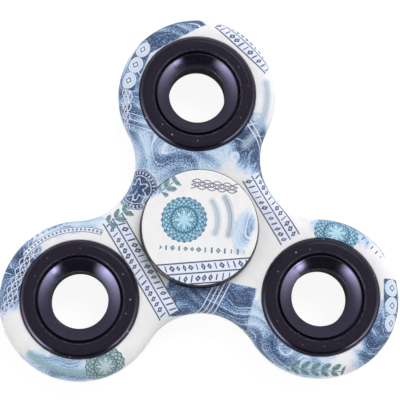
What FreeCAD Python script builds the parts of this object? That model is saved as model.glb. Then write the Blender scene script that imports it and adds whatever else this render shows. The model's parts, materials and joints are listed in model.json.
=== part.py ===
import FreeCAD, Part
import math
import os
import re
import Sketcher

# A three-armed fidget spinner, in millimetres.
#
# A moulded plate turns on a ball bearing of the 608 size at its hub. Each arm carries a steel ring
# weight, lined by two funnel-shaped eyelets. Two caps, pressed into the bearing's inner race, are
# what the fingers hold while the rest turns.
#
# Frame: +Z is the spin axis, and the origin is the centre of the back cap's outer face, on which
# the spinner lies. Arm 1 points along +Y. Everything but the caps is level about the mid-plane,
# halfway up. Turned pieces are drawn with heights measured from the mid-plane, or from their lower
# face where they are level about it.

SIZES = [
    # moulded body
    ("arm_pitch", 25.7, "spin axis to the axis of each weight"),
    ("lobe_radius", 14.9, "outer radius of the lobe round each weight"),
    ("waist_distance", 15.3, "spin axis to the nearest edge, between two arms"),
    ("body_thickness", 7.0, "thickness of the moulded plate"),
    ("body_edge_round", 2.8, "radius of the plate's outer edges"),
    ("parting_band", 0.3, "straight band left at mid-height for the mould's parting line"),
    ("lobe_land", 0.5, "least flat width left round a weight"),
    ("seat_chamfer", 0.25, "chamfer at the mouth of each round seat"),
    ("press_slack", 0.01, "radial slack drawn in each pressed seat"),
    # ball bearing
    ("bearing_outer_dia", 22.0, "outer diameter of the outer race"),
    ("bearing_bore_dia", 8.0, "bore of the inner race"),
    ("bearing_width", 7.0, "width of both races"),
    ("race_chamfer", 0.3, "chamfer on the races' corners"),
    ("ball_dia", 3.969, "ball diameter, 5/32 inch"),
    ("ball_count", 7, "number of balls"),
    ("track_clearance", 0.05, "radial clearance between a ball and each track"),
    ("track_depth", 0.55, "depth of each track below its land"),
    ("cage_sheet", 0.4, "thickness of the cage's sheet"),
    ("cage_clearance", 0.1, "radial clearance between a ball and its cage pocket"),
    ("cage_race_gap", 0.45, "radial gap between the cage and each land"),
    ("rivet_dia", 0.7, "shank diameter of a cage rivet"),
    ("rivet_head_dia", 1.1, "head diameter of a cage rivet"),
    ("rivet_head_height", 0.25, "height of a cage rivet's head"),
    ("shield_sheet", 0.3, "thickness of the shields' sheet"),
    ("shield_recess", 0.6, "depth of the shield's seat below the race's face"),
    ("shield_seat_width", 0.65, "radial width of the shield's seat"),
    ("shield_dish", 0.15, "height by which a shield's middle stands proud of its rim"),
    ("shield_gap", 0.25, "radial gap between a shield and the inner race"),
    # ring weights
    ("weight_outer_dia", 22.0, "outer diameter of a ring weight"),
    ("weight_bore_dia", 14.2, "bore of a ring weight, in which the eyelets are pressed"),
    ("weight_length", 8.8, "length of a ring weight along its axis"),
    ("weight_edge_round", 1.3, "radius of a ring weight's outer edges"),
    ("weight_flat", 0.1, "least flat width left on a ring weight's face"),
    ("rim_seat_width", 0.9, "radial width of the counterbore that holds an eyelet's rim"),
    ("counterbore_chamfer", 0.3, "chamfer at the counterbore's mouth"),
    # eyelets
    ("rim_groove", 0.4, "width of the open groove round an eyelet's rim"),
    ("rim_recess", 0.35, "depth of an eyelet's rim below the weight's face"),
    ("rim_thickness", 1.0, "thickness of an eyelet's rim"),
    ("rim_lip", 0.1, "flat width between the funnel's mouth and the rim's edge"),
    ("press_land", 1.2, "length of the land that an eyelet is pressed in by"),
    ("funnel_depth", 1.6, "depth of an eyelet's funnel"),
    ("throat_dia", 10.6, "diameter of the hole through the eyelets"),
    ("throat_wall", 1.0, "wall round the throat"),
    ("throat_round", 0.3, "radius where the funnel meets the throat"),
    ("seam_chamfer", 0.12, "chamfer on each eyelet's inner end, which shows as a seam"),
    # finger caps
    ("cap_dia", 21.7, "diameter of a finger cap"),
    ("cap_thickness", 1.8, "thickness of a cap's disc"),
    ("cap_gap", 0.9, "gap between a cap's disc and the body"),
    ("cap_edge_round", 0.4, "radius of a cap's outer edge"),
    ("cap_under_chamfer", 0.2, "chamfer on a cap's under edge"),
    ("cap_seat_width", 1.5, "radial width of the shoulder that rests on the inner race"),
    ("stem_wall", 1.4, "wall of the hollow stem"),
    ("stem_end_gap", 0.3, "distance that each stem stops short of the mid-plane"),
    ("stem_lead", 0.3, "lead-in chamfer at the stem's end"),
    ("stem_slot", 1.0, "width of the slots that let the stem spring"),
    ("stem_solid", 0.8, "length of stem below the shoulder that the slots leave whole"),
]

ARM_ANGLES = (90, 210, 330)

# Sizes that follow from the sheet, as formulas of its names.
WALL = "(lobe_radius - weight_outer_dia / 2 - press_slack)"
BODY_ROUND = f"min(body_edge_round; (body_thickness - parting_band) / 2; {WALL} - seat_chamfer - lobe_land)"
ARM_RUN = "(arm_pitch * cos(30deg))"
WAIST_RISE = "(waist_distance - arm_pitch / 2)"
WAIST_ROUND = (f"(({ARM_RUN} * {ARM_RUN} + {WAIST_RISE} * {WAIST_RISE} - lobe_radius * lobe_radius)"
               f" / (2 * (lobe_radius - {WAIST_RISE})))")

CORE_HALF = "(max(body_thickness; bearing_width) / 2)"
CAP_UNDERSIDE = f"({CORE_HALF} + cap_gap)"
MID_HEIGHT = f"({CAP_UNDERSIDE} + cap_thickness)"

PITCH_RADIUS = "((bearing_outer_dia + bearing_bore_dia) / 4)"
TRACK_RADIUS = "(ball_dia / 2 + track_clearance)"
OUTER_LAND = f"({PITCH_RADIUS} + {TRACK_RADIUS} - track_depth)"
INNER_LAND = f"({PITCH_RADIUS} - {TRACK_RADIUS} + track_depth)"
POCKET_RADIUS = "(ball_dia / 2 + cage_clearance)"
DOME_RADIUS = f"({POCKET_RADIUS} + cage_sheet)"
CAGE_OUTER = f"({OUTER_LAND} - cage_race_gap)"
CAGE_INNER = f"({INNER_LAND} + cage_race_gap)"
SHIELD_SEAT = f"({OUTER_LAND} + shield_seat_width)"
SHIELD_FLOOR = f"max(bearing_width / 2 - shield_recess; {DOME_RADIUS} + track_clearance)"

COUNTERBORE = "(weight_bore_dia / 2 + rim_seat_width)"
RIM_FACE = "(weight_length / 2 - rim_recess)"
RIM_SEAT = f"({RIM_FACE} - rim_thickness)"
RIM_RADIUS = f"({COUNTERBORE} - rim_groove)"
LAND_RADIUS = "(weight_bore_dia / 2 - press_slack)"
WEIGHT_ROUND = (f"min(weight_edge_round; "
                f"weight_outer_dia / 2 - {COUNTERBORE} - counterbore_chamfer - weight_flat)")
STEM_RADIUS = "(bearing_bore_dia / 2 - press_slack)"

doc = FreeCAD.newDocument("FidgetSpinner")
sheet = doc.addObject("Spreadsheet::Sheet", "Sizes")
for row, (alias, number, meaning) in enumerate(SIZES, start=1):
    sheet.set(f"A{row}", meaning)
    sheet.set(f"B{row}", str(number))
    sheet.setAlias(f"B{row}", alias)
doc.recompute()

NEAR = 1e-4  # two lengths closer than this are the same

sub_parts = []


def value(formula):
    """What a formula of the sheet's names comes to."""
    return float(sheet.evalExpression(formula))


def bind(thing, prop, formula):
    """Tie a property to the sheet, so that it follows when a size changes."""
    thing.setExpression(prop, re.sub(r"\b([a-z]+(?:_[a-z]+)+)\b", r"Sizes.\1", formula))


def keep(thing, label):
    """Name a finished sub-part and list it for export."""
    thing.Label = label
    sub_parts.append(thing)


def place(thing, x="0", y="0", height="0", flipped=False):
    """Put a piece at a point; a flipped one is turned over about the X axis."""
    turn = FreeCAD.Rotation(FreeCAD.Vector(1, 0, 0), 180 if flipped else 0)
    thing.Placement = FreeCAD.Placement(FreeCAD.Vector(value(x), value(y), value(height)), turn)
    bind(thing, "Placement.Base.x", x)
    bind(thing, "Placement.Base.y", y)
    bind(thing, "Placement.Base.z", height)


def arm_point(angle):
    """Formulas of the place of the weight on the arm at this angle."""
    return f"arm_pitch * cos({angle}deg)", f"arm_pitch * sin({angle}deg)"


def new_sketch(body, name, plane):
    """A sketch on one of the body's own origin planes."""
    sketch = body.newObject("Sketcher::SketchObject", name)
    support = [item for item in body.Origin.OriginFeatures if item.Role == plane][0]
    sketch.AttachmentSupport = (support, [""])
    sketch.MapMode = "FlatFace"
    return sketch


def pin_point(sketch, geometry, end, across, up):
    """Fix a sketch point by two formulas; a formula of "0" puts it on the axis instead."""
    origin, horizontal, vertical = (-1, 1), -1, -2
    for kind, axis, formula in (("DistanceX", vertical, across), ("DistanceY", horizontal, up)):
        if formula == "0":
            sketch.addConstraint(Sketcher.Constraint("PointOnObject", geometry, end, axis))
            continue
        index = sketch.addConstraint(Sketcher.Constraint(kind, *origin, geometry, end, value(formula)))
        bind(sketch, f"Constraints[{index}]", formula)


def pin_radius(sketch, geometry, formula):
    """Fix the radius of a circle or an arc by a formula."""
    index = sketch.addConstraint(Sketcher.Constraint("Radius", geometry, value(formula)))
    bind(sketch, f"Constraints[{index}]", formula)


def add_polygon(sketch, points):
    """A closed outline through points, each a pair of formulas."""
    corners = [FreeCAD.Vector(value(across), value(up), 0) for across, up in points]
    following = corners[1:] + corners[:1]
    lines = [sketch.addGeometry(Part.LineSegment(*ends), False) for ends in zip(corners, following)]
    for line, (across, up) in zip(lines, points):
        pin_point(sketch, line, 1, across, up)
    for line, after in zip(lines, lines[1:] + lines[:1]):
        sketch.addConstraint(Sketcher.Constraint("Coincident", line, 2, after, 1))


def add_circle(sketch, across, up, radius):
    """A circle from formulas of its centre and radius."""
    centre = FreeCAD.Vector(value(across), value(up), 0)
    circle = Part.Circle(centre, FreeCAD.Vector(0, 0, 1), value(radius))
    geometry = sketch.addGeometry(circle, False)
    pin_point(sketch, geometry, 3, across, up)
    pin_radius(sketch, geometry, radius)


def finish_feature(body, feature):
    """Make a feature the body's tip, and stop if it changed nothing."""
    before = body.Shape.Volume if body.Shape and not body.Shape.isNull() else 0.0
    body.Tip = feature
    doc.recompute()
    assert abs(body.Shape.Volume - before) > NEAR, f"{feature.Name} changed nothing"


def spin_sketch(body, name, sketch, kind):
    """Turn a sketch once round its vertical axis: a Revolution adds, a Groove cuts."""
    feature = body.newObject("PartDesign::" + kind, name)
    feature.Profile = sketch
    feature.ReferenceAxis = (sketch, ["V_Axis"])
    feature.Angle = 360
    finish_feature(body, feature)


def turn_profile(body, name, points):
    """Turn a closed profile of (radius, height) formulas once round the Z axis."""
    sketch = new_sketch(body, name + "_profile", "XZ_Plane")
    add_polygon(sketch, points)
    spin_sketch(body, name, sketch, "Revolution")


def ring_edges(shape, radius, heights, centres=(("0", "0"),)):
    """Names of the circular edges of one radius, at given heights about given centres."""
    names = []
    for number, edge in enumerate(shape.Edges, start=1):
        curve = edge.Curve
        if curve.TypeId != "Part::GeomCircle" or abs(curve.Radius - value(radius)) > NEAR:
            continue
        for height in heights:
            for across, up in centres:
                target = FreeCAD.Vector(value(across), value(up), value(height))
                if curve.Center.distanceToPoint(target) < NEAR:
                    names.append(f"Edge{number}")
    assert names, "no such edges"
    return names


def dress_edges(body, kind, name, elements, size):
    """Round or chamfer edges of the body's tip; size is a formula."""
    base = body.Tip
    feature = body.newObject("PartDesign::" + kind, name)
    feature.Base = (base, elements)
    prop = "Radius" if kind == "Fillet" else "Size"
    setattr(feature, prop, value(size))
    bind(feature, prop, size)
    finish_feature(body, feature)


# ---- Moulded body: lobes and waists as six tangent arcs, padded, rounded and bored ----

def polar(distance, angle):
    turn = math.radians(angle)
    return FreeCAD.Vector(distance * math.cos(turn), distance * math.sin(turn), 0)


def add_arc(sketch, centre, radius, first, last):
    """An arc that runs counter-clockwise, from its side towards one point to its side towards another."""
    start, end = first - centre, last - centre
    circle = Part.Circle(centre, FreeCAD.Vector(0, 0, 1), radius)
    span = (math.atan2(start.y, start.x), math.atan2(end.y, end.x))
    return sketch.addGeometry(Part.ArcOfCircle(circle, *span), False)


def add_outline(sketch):
    """Three convex lobes joined by three concave waists, every joint tangent."""
    pitch, waist = value("arm_pitch"), value(WAIST_ROUND)
    reach = value("waist_distance") + waist
    half_step = 180 / len(ARM_ANGLES)
    lobes, waists = [], []
    for angle in ARM_ANGLES:
        lobe_centre, next_lobe = polar(pitch, angle), polar(pitch, angle + 2 * half_step)
        waist_before, waist_after = polar(reach, angle - half_step), polar(reach, angle + half_step)
        lobes.append(add_arc(sketch, lobe_centre, value("lobe_radius"), waist_before, waist_after))
        waists.append(add_arc(sketch, waist_after, waist, next_lobe, lobe_centre))
    for number, angle in enumerate(ARM_ANGLES):
        pin_point(sketch, lobes[number], 3, *arm_point(angle))
        pin_radius(sketch, lobes[number], "lobe_radius")
        pin_radius(sketch, waists[number], WAIST_ROUND)
        next_lobe = lobes[(number + 1) % len(lobes)]
        sketch.addConstraint(Sketcher.Constraint("Tangent", lobes[number], 2, waists[number], 2))
        sketch.addConstraint(Sketcher.Constraint("Tangent", waists[number], 1, next_lobe, 1))


def make_spinner_body():
    body = doc.addObject("PartDesign::Body", "spinner_body")
    outline = new_sketch(body, "body_outline", "XY_Plane")
    add_outline(outline)
    plate = body.newObject("PartDesign::Pad", "body_plate")
    plate.Profile = outline
    plate.SideType = "Symmetric"
    bind(plate, "Length", "body_thickness")
    finish_feature(body, plate)

    flat_faces = [f"Face{number}" for number, face in enumerate(plate.Shape.Faces, start=1)
                  if abs(face.normalAt(0, 0).z) > 1 - NEAR]
    dress_edges(body, "Fillet", "body_rounds", flat_faces, BODY_ROUND)

    seats = new_sketch(body, "body_seats", "XY_Plane")
    hub_seat = "(bearing_outer_dia / 2 + press_slack)"
    weight_seat = "(weight_outer_dia / 2 + press_slack)"
    add_circle(seats, "0", "0", hub_seat)
    for angle in ARM_ANGLES:
        add_circle(seats, *arm_point(angle), weight_seat)
    bores = body.newObject("PartDesign::Pocket", "body_bores")
    bores.Profile = seats
    bores.Type = "ThroughAll"
    bores.SideType = "Symmetric"
    finish_feature(body, bores)

    faces = ("body_thickness / 2", "-body_thickness / 2")
    arms = [arm_point(angle) for angle in ARM_ANGLES]
    mouths = ring_edges(body.Shape, hub_seat, faces) + ring_edges(body.Shape, weight_seat, faces, arms)
    dress_edges(body, "Chamfer", "body_mouths", mouths, "seat_chamfer")
    place(body, height=MID_HEIGHT)
    keep(body, "spinner_body")


# ---- Ball bearing: two races, balls, riveted ribbon cage and two shields ----

def cut_track(body, name):
    """The groove that the balls run in, cut from a race drawn from its lower face up."""
    sketch = new_sketch(body, name + "_section", "XZ_Plane")
    add_circle(sketch, PITCH_RADIUS, "bearing_width / 2", TRACK_RADIUS)
    spin_sketch(body, name, sketch, "Groove")


def make_inner_race():
    bore = "bearing_bore_dia / 2"
    body = doc.addObject("PartDesign::Body", "inner_race")
    turn_profile(body, "inner_ring", [
        (f"{bore} + race_chamfer", "0"),
        (f"{INNER_LAND} - race_chamfer", "0"),
        (INNER_LAND, "race_chamfer"),
        (INNER_LAND, "bearing_width - race_chamfer"),
        (f"{INNER_LAND} - race_chamfer", "bearing_width"),
        (f"{bore} + race_chamfer", "bearing_width"),
        (bore, "bearing_width - race_chamfer"),
        (bore, "race_chamfer"),
    ])
    cut_track(body, "inner_track")
    place(body, height=f"{MID_HEIGHT} - bearing_width / 2")
    keep(body, "inner_race")


def make_outer_race():
    rim = "bearing_outer_dia / 2"
    low_step = f"bearing_width / 2 - {SHIELD_FLOOR}"
    high_step = f"bearing_width / 2 + {SHIELD_FLOOR}"
    body = doc.addObject("PartDesign::Body", "outer_race")
    turn_profile(body, "outer_ring", [
        (SHIELD_SEAT, "0"),
        (f"{rim} - race_chamfer", "0"),
        (rim, "race_chamfer"),
        (rim, "bearing_width - race_chamfer"),
        (f"{rim} - race_chamfer", "bearing_width"),
        (SHIELD_SEAT, "bearing_width"),
        (SHIELD_SEAT, high_step),
        (OUTER_LAND, high_step),
        (OUTER_LAND, low_step),
        (SHIELD_SEAT, low_step),
    ])
    cut_track(body, "outer_track")
    place(body, height=f"{MID_HEIGHT} - bearing_width / 2")
    keep(body, "outer_race")


def on_pitch_circle(step):
    """Formulas of a point on the ball circle, counted in ball spacings from the +X axis."""
    turn = f"(360deg * {step} / ball_count)"
    return f"{PITCH_RADIUS} * cos{turn}", f"{PITCH_RADIUS} * sin{turn}"


def make_sphere(name, step, radius, height):
    sphere = doc.addObject("Part::Sphere", name)
    bind(sphere, "Radius", radius)
    place(sphere, *on_pitch_circle(step), height)
    return sphere


def make_drum(name, radius, length, x="0", y="0", height="0"):
    drum = doc.addObject("Part::Cylinder", name)
    bind(drum, "Radius", radius)
    bind(drum, "Height", length)
    place(drum, x, y, height)
    return drum


def join(kind, name, pieces):
    """A Part boolean of two or more pieces: MultiFuse or MultiCommon."""
    result = doc.addObject("Part::" + kind, name)
    result.Shapes = pieces
    return result


def cut(name, base, tool):
    result = doc.addObject("Part::Cut", name)
    result.Base = base
    result.Tool = tool
    return result


BALL_COUNT = int(value("ball_count"))


def make_balls():
    for step in range(BALL_COUNT):
        label = f"bearing_ball_{step + 1}"
        keep(make_sphere(label, step, "ball_dia / 2", MID_HEIGHT), label)


def make_cage_half(side, flipped):
    """One pressed strip: flat between the balls, domed over each ball, with a hole for each rivet."""
    label = f"cage_{side}_half"
    flat = make_drum(label + "_flat", CAGE_OUTER, "cage_sheet")
    domes = [make_sphere(f"{label}_dome_{step + 1}", step, DOME_RADIUS, "0") for step in range(BALL_COUNT)]
    blank = join("MultiFuse", label + "_blank", [flat] + domes)
    outside = make_drum(label + "_outside", CAGE_OUTER, DOME_RADIUS)
    inside = make_drum(label + "_inside", CAGE_INNER, DOME_RADIUS)
    band = cut(label + "_band", outside, inside)
    strip = join("MultiCommon", label + "_strip", [blank, band])

    openings = []
    for step in range(BALL_COUNT):
        openings.append(make_sphere(f"{label}_pocket_{step + 1}", step, POCKET_RADIUS, "0"))
        between = on_pitch_circle(step + 0.5)
        openings.append(make_drum(f"{label}_hole_{step + 1}", "rivet_dia / 2 + press_slack",
                                  "cage_sheet", *between))
        openings.append(make_drum(f"{label}_spotface_{step + 1}", "rivet_head_dia / 2 + press_slack",
                                  DOME_RADIUS, *between, "cage_sheet"))
    half = cut(label, strip, join("MultiFuse", label + "_openings", openings))
    place(half, height=MID_HEIGHT, flipped=flipped)
    keep(half, label)


def make_cage_rivets():
    """Seven separate rivets in one group, each a shank with a tapered head at both ends."""
    rivets = []
    for step in range(BALL_COUNT):
        x, y = on_pitch_circle(step + 0.5)
        shank = make_drum(f"rivet_shank_{step + 1}", "rivet_dia / 2", "2 * cage_sheet", x, y,
                          f"{MID_HEIGHT} - cage_sheet")
        heads = []
        for side, flipped in (("front", False), ("back", True)):
            head = doc.addObject("Part::Cone", f"rivet_{side}_head_{step + 1}")
            bind(head, "Radius1", "rivet_head_dia / 2")
            bind(head, "Radius2", "rivet_dia / 2")
            bind(head, "Height", "rivet_head_height")
            sign = "-" if flipped else "+"
            place(head, x, y, f"{MID_HEIGHT} {sign} cage_sheet", flipped)
            heads.append(head)
        rivets.append(join("MultiFuse", f"rivet_{step + 1}", [shank] + heads))
    group = doc.addObject("Part::Compound", "cage_rivets")
    group.Links = rivets
    keep(group, "cage_rivets")


def make_shield(side, flipped):
    """A dished washer on its seat in the outer race, clear of the inner race."""
    floor = SHIELD_FLOOR
    top = f"{SHIELD_FLOOR} + shield_sheet"
    rim = f"{SHIELD_SEAT} - press_slack"
    bend = f"{OUTER_LAND} - shield_dish"
    label = f"{side}_shield"
    body = doc.addObject("PartDesign::Body", label)
    turn_profile(body, label + "_washer", [
        (rim, floor),
        (rim, top),
        (bend, top),
        (f"{bend} - shield_dish", f"{top} + shield_dish"),
        (f"{INNER_LAND} + shield_gap", f"{top} + shield_dish"),
        (f"{INNER_LAND} + shield_gap", f"{floor} + shield_dish"),
        (f"{bend} - shield_dish", f"{floor} + shield_dish"),
        (bend, floor),
    ])
    place(body, height=MID_HEIGHT, flipped=flipped)
    keep(body, label)


# ---- Ring weights and their eyelets ----

def make_weight_ring(number, angle):
    outside = "weight_outer_dia / 2"
    bore = "weight_bore_dia / 2"
    low_seat = f"weight_length / 2 - {RIM_SEAT}"
    high_seat = f"weight_length / 2 + {RIM_SEAT}"
    label = f"weight_ring_{number}"
    body = doc.addObject("PartDesign::Body", label)
    turn_profile(body, label + "_ring", [
        (f"{COUNTERBORE} + counterbore_chamfer", "0"),
        (outside, "0"),
        (outside, "weight_length"),
        (f"{COUNTERBORE} + counterbore_chamfer", "weight_length"),
        (COUNTERBORE, "weight_length - counterbore_chamfer"),
        (COUNTERBORE, high_seat),
        (bore, high_seat),
        (bore, low_seat),
        (COUNTERBORE, low_seat),
        (COUNTERBORE, "counterbore_chamfer"),
    ])
    edges = ring_edges(body.Shape, outside, ("0", "weight_length"))
    dress_edges(body, "Fillet", label + "_rounds", edges, WEIGHT_ROUND)
    place(body, *arm_point(angle), f"{MID_HEIGHT} - weight_length / 2")
    keep(body, label)


def make_eyelet(side, number, angle, flipped):
    """A funnel pressed into the ring, whose rim rests in the counterbore."""
    throat = "throat_dia / 2"
    throat_top = f"{RIM_FACE} - funnel_depth"
    shoulder = f"{RIM_SEAT} - press_land"
    label = f"{side}_eyelet_{number}"
    body = doc.addObject("PartDesign::Body", label)
    turn_profile(body, label + "_funnel", [
        (f"{throat} + seam_chamfer", "0"),
        (f"{throat} + throat_wall", "0"),
        (f"{throat} + throat_wall", shoulder),
        (LAND_RADIUS, shoulder),
        (LAND_RADIUS, RIM_SEAT),
        (RIM_RADIUS, RIM_SEAT),
        (RIM_RADIUS, RIM_FACE),
        (f"{RIM_RADIUS} - rim_lip", RIM_FACE),
        (throat, throat_top),
        (throat, "seam_chamfer"),
    ])
    edges = ring_edges(body.Shape, throat, (throat_top,))
    dress_edges(body, "Fillet", label + "_throat", edges, "throat_round")
    place(body, *arm_point(angle), MID_HEIGHT, flipped)
    keep(body, label)


# ---- Finger caps ----

def make_cap(side, flipped):
    """A flat disc on a shoulder that rests on the inner race, with a slotted stem in its bore."""
    rim = "cap_dia / 2"
    face = f"{CAP_UNDERSIDE} + cap_thickness"
    hollow = f"{STEM_RADIUS} - stem_wall"
    race_face = "bearing_width / 2"
    label = f"{side}_cap"
    body = doc.addObject("PartDesign::Body", label)
    turn_profile(body, label + "_disc", [
        ("0", race_face),
        (hollow, race_face),
        (hollow, "stem_end_gap"),
        (f"{STEM_RADIUS} - stem_lead", "stem_end_gap"),
        (STEM_RADIUS, "stem_end_gap + stem_lead"),
        (STEM_RADIUS, race_face),
        ("bearing_bore_dia / 2 + cap_seat_width", race_face),
        ("bearing_bore_dia / 2 + cap_seat_width", CAP_UNDERSIDE),
        (f"{rim} - cap_under_chamfer", CAP_UNDERSIDE),
        (rim, f"{CAP_UNDERSIDE} + cap_under_chamfer"),
        (rim, face),
        ("0", face),
    ])
    edges = ring_edges(body.Shape, rim, (face,))
    dress_edges(body, "Fillet", label + "_edge", edges, "min(cap_edge_round; cap_thickness / 2)")

    slots = new_sketch(body, label + "_slots", "XY_Plane")
    half_width = "stem_slot / 2"
    reach = "bearing_bore_dia / 2 + race_chamfer"
    corners = [(1, 1), (-1, 1), (-1, -1), (1, -1)]
    cross = []
    for right, up in corners:
        long_arm = (f"{right} * ({reach})", f"{up} * {half_width}")
        inner = (f"{right} * {half_width}", f"{up} * {half_width}")
        tall_arm = (f"{right} * {half_width}", f"{up} * ({reach})")
        cross += [long_arm, inner, tall_arm] if right == up else [tall_arm, inner, long_arm]
    add_polygon(slots, cross)
    pocket = body.newObject("PartDesign::Pocket", label + "_slot_cut")
    pocket.Profile = slots
    pocket.Type = "Length"
    pocket.Reversed = True
    bind(pocket, "Length", f"{race_face} - stem_solid")
    finish_feature(body, pocket)
    place(body, height=MID_HEIGHT, flipped=flipped)
    keep(body, label)


make_spinner_body()
make_inner_race()
make_outer_race()
make_balls()
make_cage_rivets()
for side, flipped in (("front", False), ("back", True)):
    make_cage_half(side, flipped)
    make_shield(side, flipped)
    make_cap(side, flipped)
for number, angle in enumerate(ARM_ANGLES, start=1):
    make_weight_ring(number, angle)
    for side, flipped in (("front", False), ("back", True)):
        make_eyelet(side, number, angle, flipped)

doc.recompute()
for thing in doc.Objects:
    assert "Invalid" not in thing.State and "Error" not in thing.State, thing.Label
for thing in sub_parts:
    assert not thing.Shape.isNull() and thing.Shape.isValid(), thing.Label

os.makedirs("parts", exist_ok=True)
for thing in sub_parts:
    thing.Shape.exportStep(f"parts/{thing.Label}.step")
    print(f"{thing.Label}: {len(thing.Shape.Solids)} solid(s), {thing.Shape.Volume:.2f} mm3")
box = Part.makeCompound([thing.Shape for thing in sub_parts]).optimalBoundingBox()
print(f"{len(sub_parts)} sub-parts; overall {box.XLength:.2f} x {box.YLength:.2f} x {box.ZLength:.2f} mm")
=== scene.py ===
# %% [markdown]
# # A printed fidget spinner
# The CAD model already holds every piece at its true size: a three-lobed plastic body, a ball bearing, two
# finger caps, and three ring weights with a pair of black funnels pressed into each. This lesson gives
# those pieces their looks in Blender. It loads the CAD pieces as a fixed frame, sets up the camera and the
# light, mixes the materials, and rebuilds the pieces that show the most with Geometry Nodes.

# %% Load the frame
import json
import math

import bmesh
import bpy
from mathutils import Matrix, Vector


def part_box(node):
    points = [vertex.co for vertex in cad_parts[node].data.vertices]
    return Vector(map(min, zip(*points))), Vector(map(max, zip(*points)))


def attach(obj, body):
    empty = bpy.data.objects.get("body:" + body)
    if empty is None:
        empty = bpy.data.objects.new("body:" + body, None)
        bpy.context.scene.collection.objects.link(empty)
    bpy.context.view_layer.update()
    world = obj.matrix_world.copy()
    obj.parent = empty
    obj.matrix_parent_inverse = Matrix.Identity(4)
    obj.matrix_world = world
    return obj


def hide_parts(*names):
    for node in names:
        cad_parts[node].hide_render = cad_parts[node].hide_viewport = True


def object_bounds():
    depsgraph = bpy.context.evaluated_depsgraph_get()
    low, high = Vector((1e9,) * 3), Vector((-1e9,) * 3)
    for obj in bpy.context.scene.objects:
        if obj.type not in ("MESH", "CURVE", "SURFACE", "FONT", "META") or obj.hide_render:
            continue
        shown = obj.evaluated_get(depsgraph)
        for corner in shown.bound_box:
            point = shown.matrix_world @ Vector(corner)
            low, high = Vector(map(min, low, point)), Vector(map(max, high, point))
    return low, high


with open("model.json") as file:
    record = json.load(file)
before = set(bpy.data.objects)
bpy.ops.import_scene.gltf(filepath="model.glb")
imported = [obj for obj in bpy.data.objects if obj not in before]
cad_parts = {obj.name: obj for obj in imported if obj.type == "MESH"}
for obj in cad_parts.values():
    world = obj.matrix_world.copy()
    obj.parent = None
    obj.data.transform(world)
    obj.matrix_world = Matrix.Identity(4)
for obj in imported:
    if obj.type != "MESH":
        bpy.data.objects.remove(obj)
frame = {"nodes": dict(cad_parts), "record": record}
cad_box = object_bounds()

nodes = frame["nodes"]

# %% [markdown]
# ## Small tools
# Blender counts in metres, and this object is best thought of in millimetres, so MM turns one into the
# other. Every material and every Geometry Nodes tree below is a graph of nodes. One helper adds a node,
# sets it up and fills its inputs: an input may get a plain value, or a node whose output is wired to it.
# Sums are so common that an operation's name alone, such as "MULTIPLY", stands for a Math node. A last
# helper starts a tree with named inputs and outputs, so that each tree reads like a recipe.

# %% Add a node and fill it
MM = 0.001
VECTOR_MATH = "ShaderNodeVectorMath"
RANGE = "ShaderNodeMapRange"
MIX = "ShaderNodeMix"
NOISE = "ShaderNodeTexNoise"
SPLIT = "ShaderNodeSeparateXYZ"
JOIN = "ShaderNodeCombineXYZ"


def fill(tree, node, inputs):
    """Fill inputs, by name or in order: each takes a value, a node or socket to link, or a list to join."""
    for key, value in inputs.items() if isinstance(inputs, dict) else enumerate(inputs):
        for source in value if isinstance(value, list) else [value]:
            if isinstance(source, bpy.types.Node):
                source = next(socket for socket in source.outputs if socket.enabled)
            if isinstance(source, bpy.types.NodeSocket):
                tree.links.new(source, node.inputs[key])
            else:
                node.inputs[key].default_value = source


def add(tree, kind, inputs=(), **settings):
    """Add a node, set it up and fill it. A kind all in capitals is an operation of the Math node."""
    if kind.isupper():
        kind, settings["operation"] = "ShaderNodeMath", kind
    node = tree.nodes.new(kind)
    for name, value in settings.items():
        setattr(node, name, value)
    fill(tree, node, inputs)
    return node


# %% Start a tree
def start_tree(name, kind, inputs, outputs):
    """Start a node tree with named sockets. Returns it, its inputs and the node that it fills."""
    tree = bpy.data.node_groups.new(name, kind + "NodeTree")
    for direction, sockets in (("INPUT", inputs), ("OUTPUT", outputs)):
        for label, socket in sockets.items():
            tree.interface.new_socket(label, in_out=direction, socket_type="NodeSocket" + socket)
    return tree, tree.nodes.new("NodeGroupInput").outputs, tree.nodes.new("NodeGroupOutput")


# %% [markdown]
# Colours are given as sRGB hex values, but light is added up in linear values. So each hex value is
# turned to linear once, here, and never by eye.

# %% Colours
def linear(hex_code):
    """An sRGB hex colour such as 'f2f1ed' as linear red, green, blue and a full alpha."""
    parts = [int(hex_code[i:i + 2], 16) / 255 for i in (0, 2, 4)]
    return (*[c / 12.92 if c <= 0.04045 else ((c + 0.055) / 1.055) ** 2.4 for c in parts], 1.0)


print("mid grey 808080 is", round(linear("808080")[0], 3), "in linear light")

# %% [markdown]
# ## Sizes, read from the frame
# Nothing here is fitted by eye. Each size comes from the CAD pieces: a box gives heights and outer radii,
# and the radii of the points that lie at one height give the edges of a turned face.

# %% Measure the CAD pieces
NEAR = 0.005 * MM


def radii_at(node, centre, height):
    """The distinct radii, in metres, of a CAD node's points at one height, round an upright axis."""
    near = [v.co - centre for v in nodes[node].data.vertices if abs(v.co.z - height) < NEAR]
    return sorted({round(math.hypot(p.x, p.y) / MM, 2) * MM for p in near})


body_low, body_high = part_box("spinner_body")
ring_low, ring_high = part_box("weight_ring_1")
eyelet_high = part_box("front_eyelet_1")[1]
cap_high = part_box("front_cap")[1]

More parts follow.
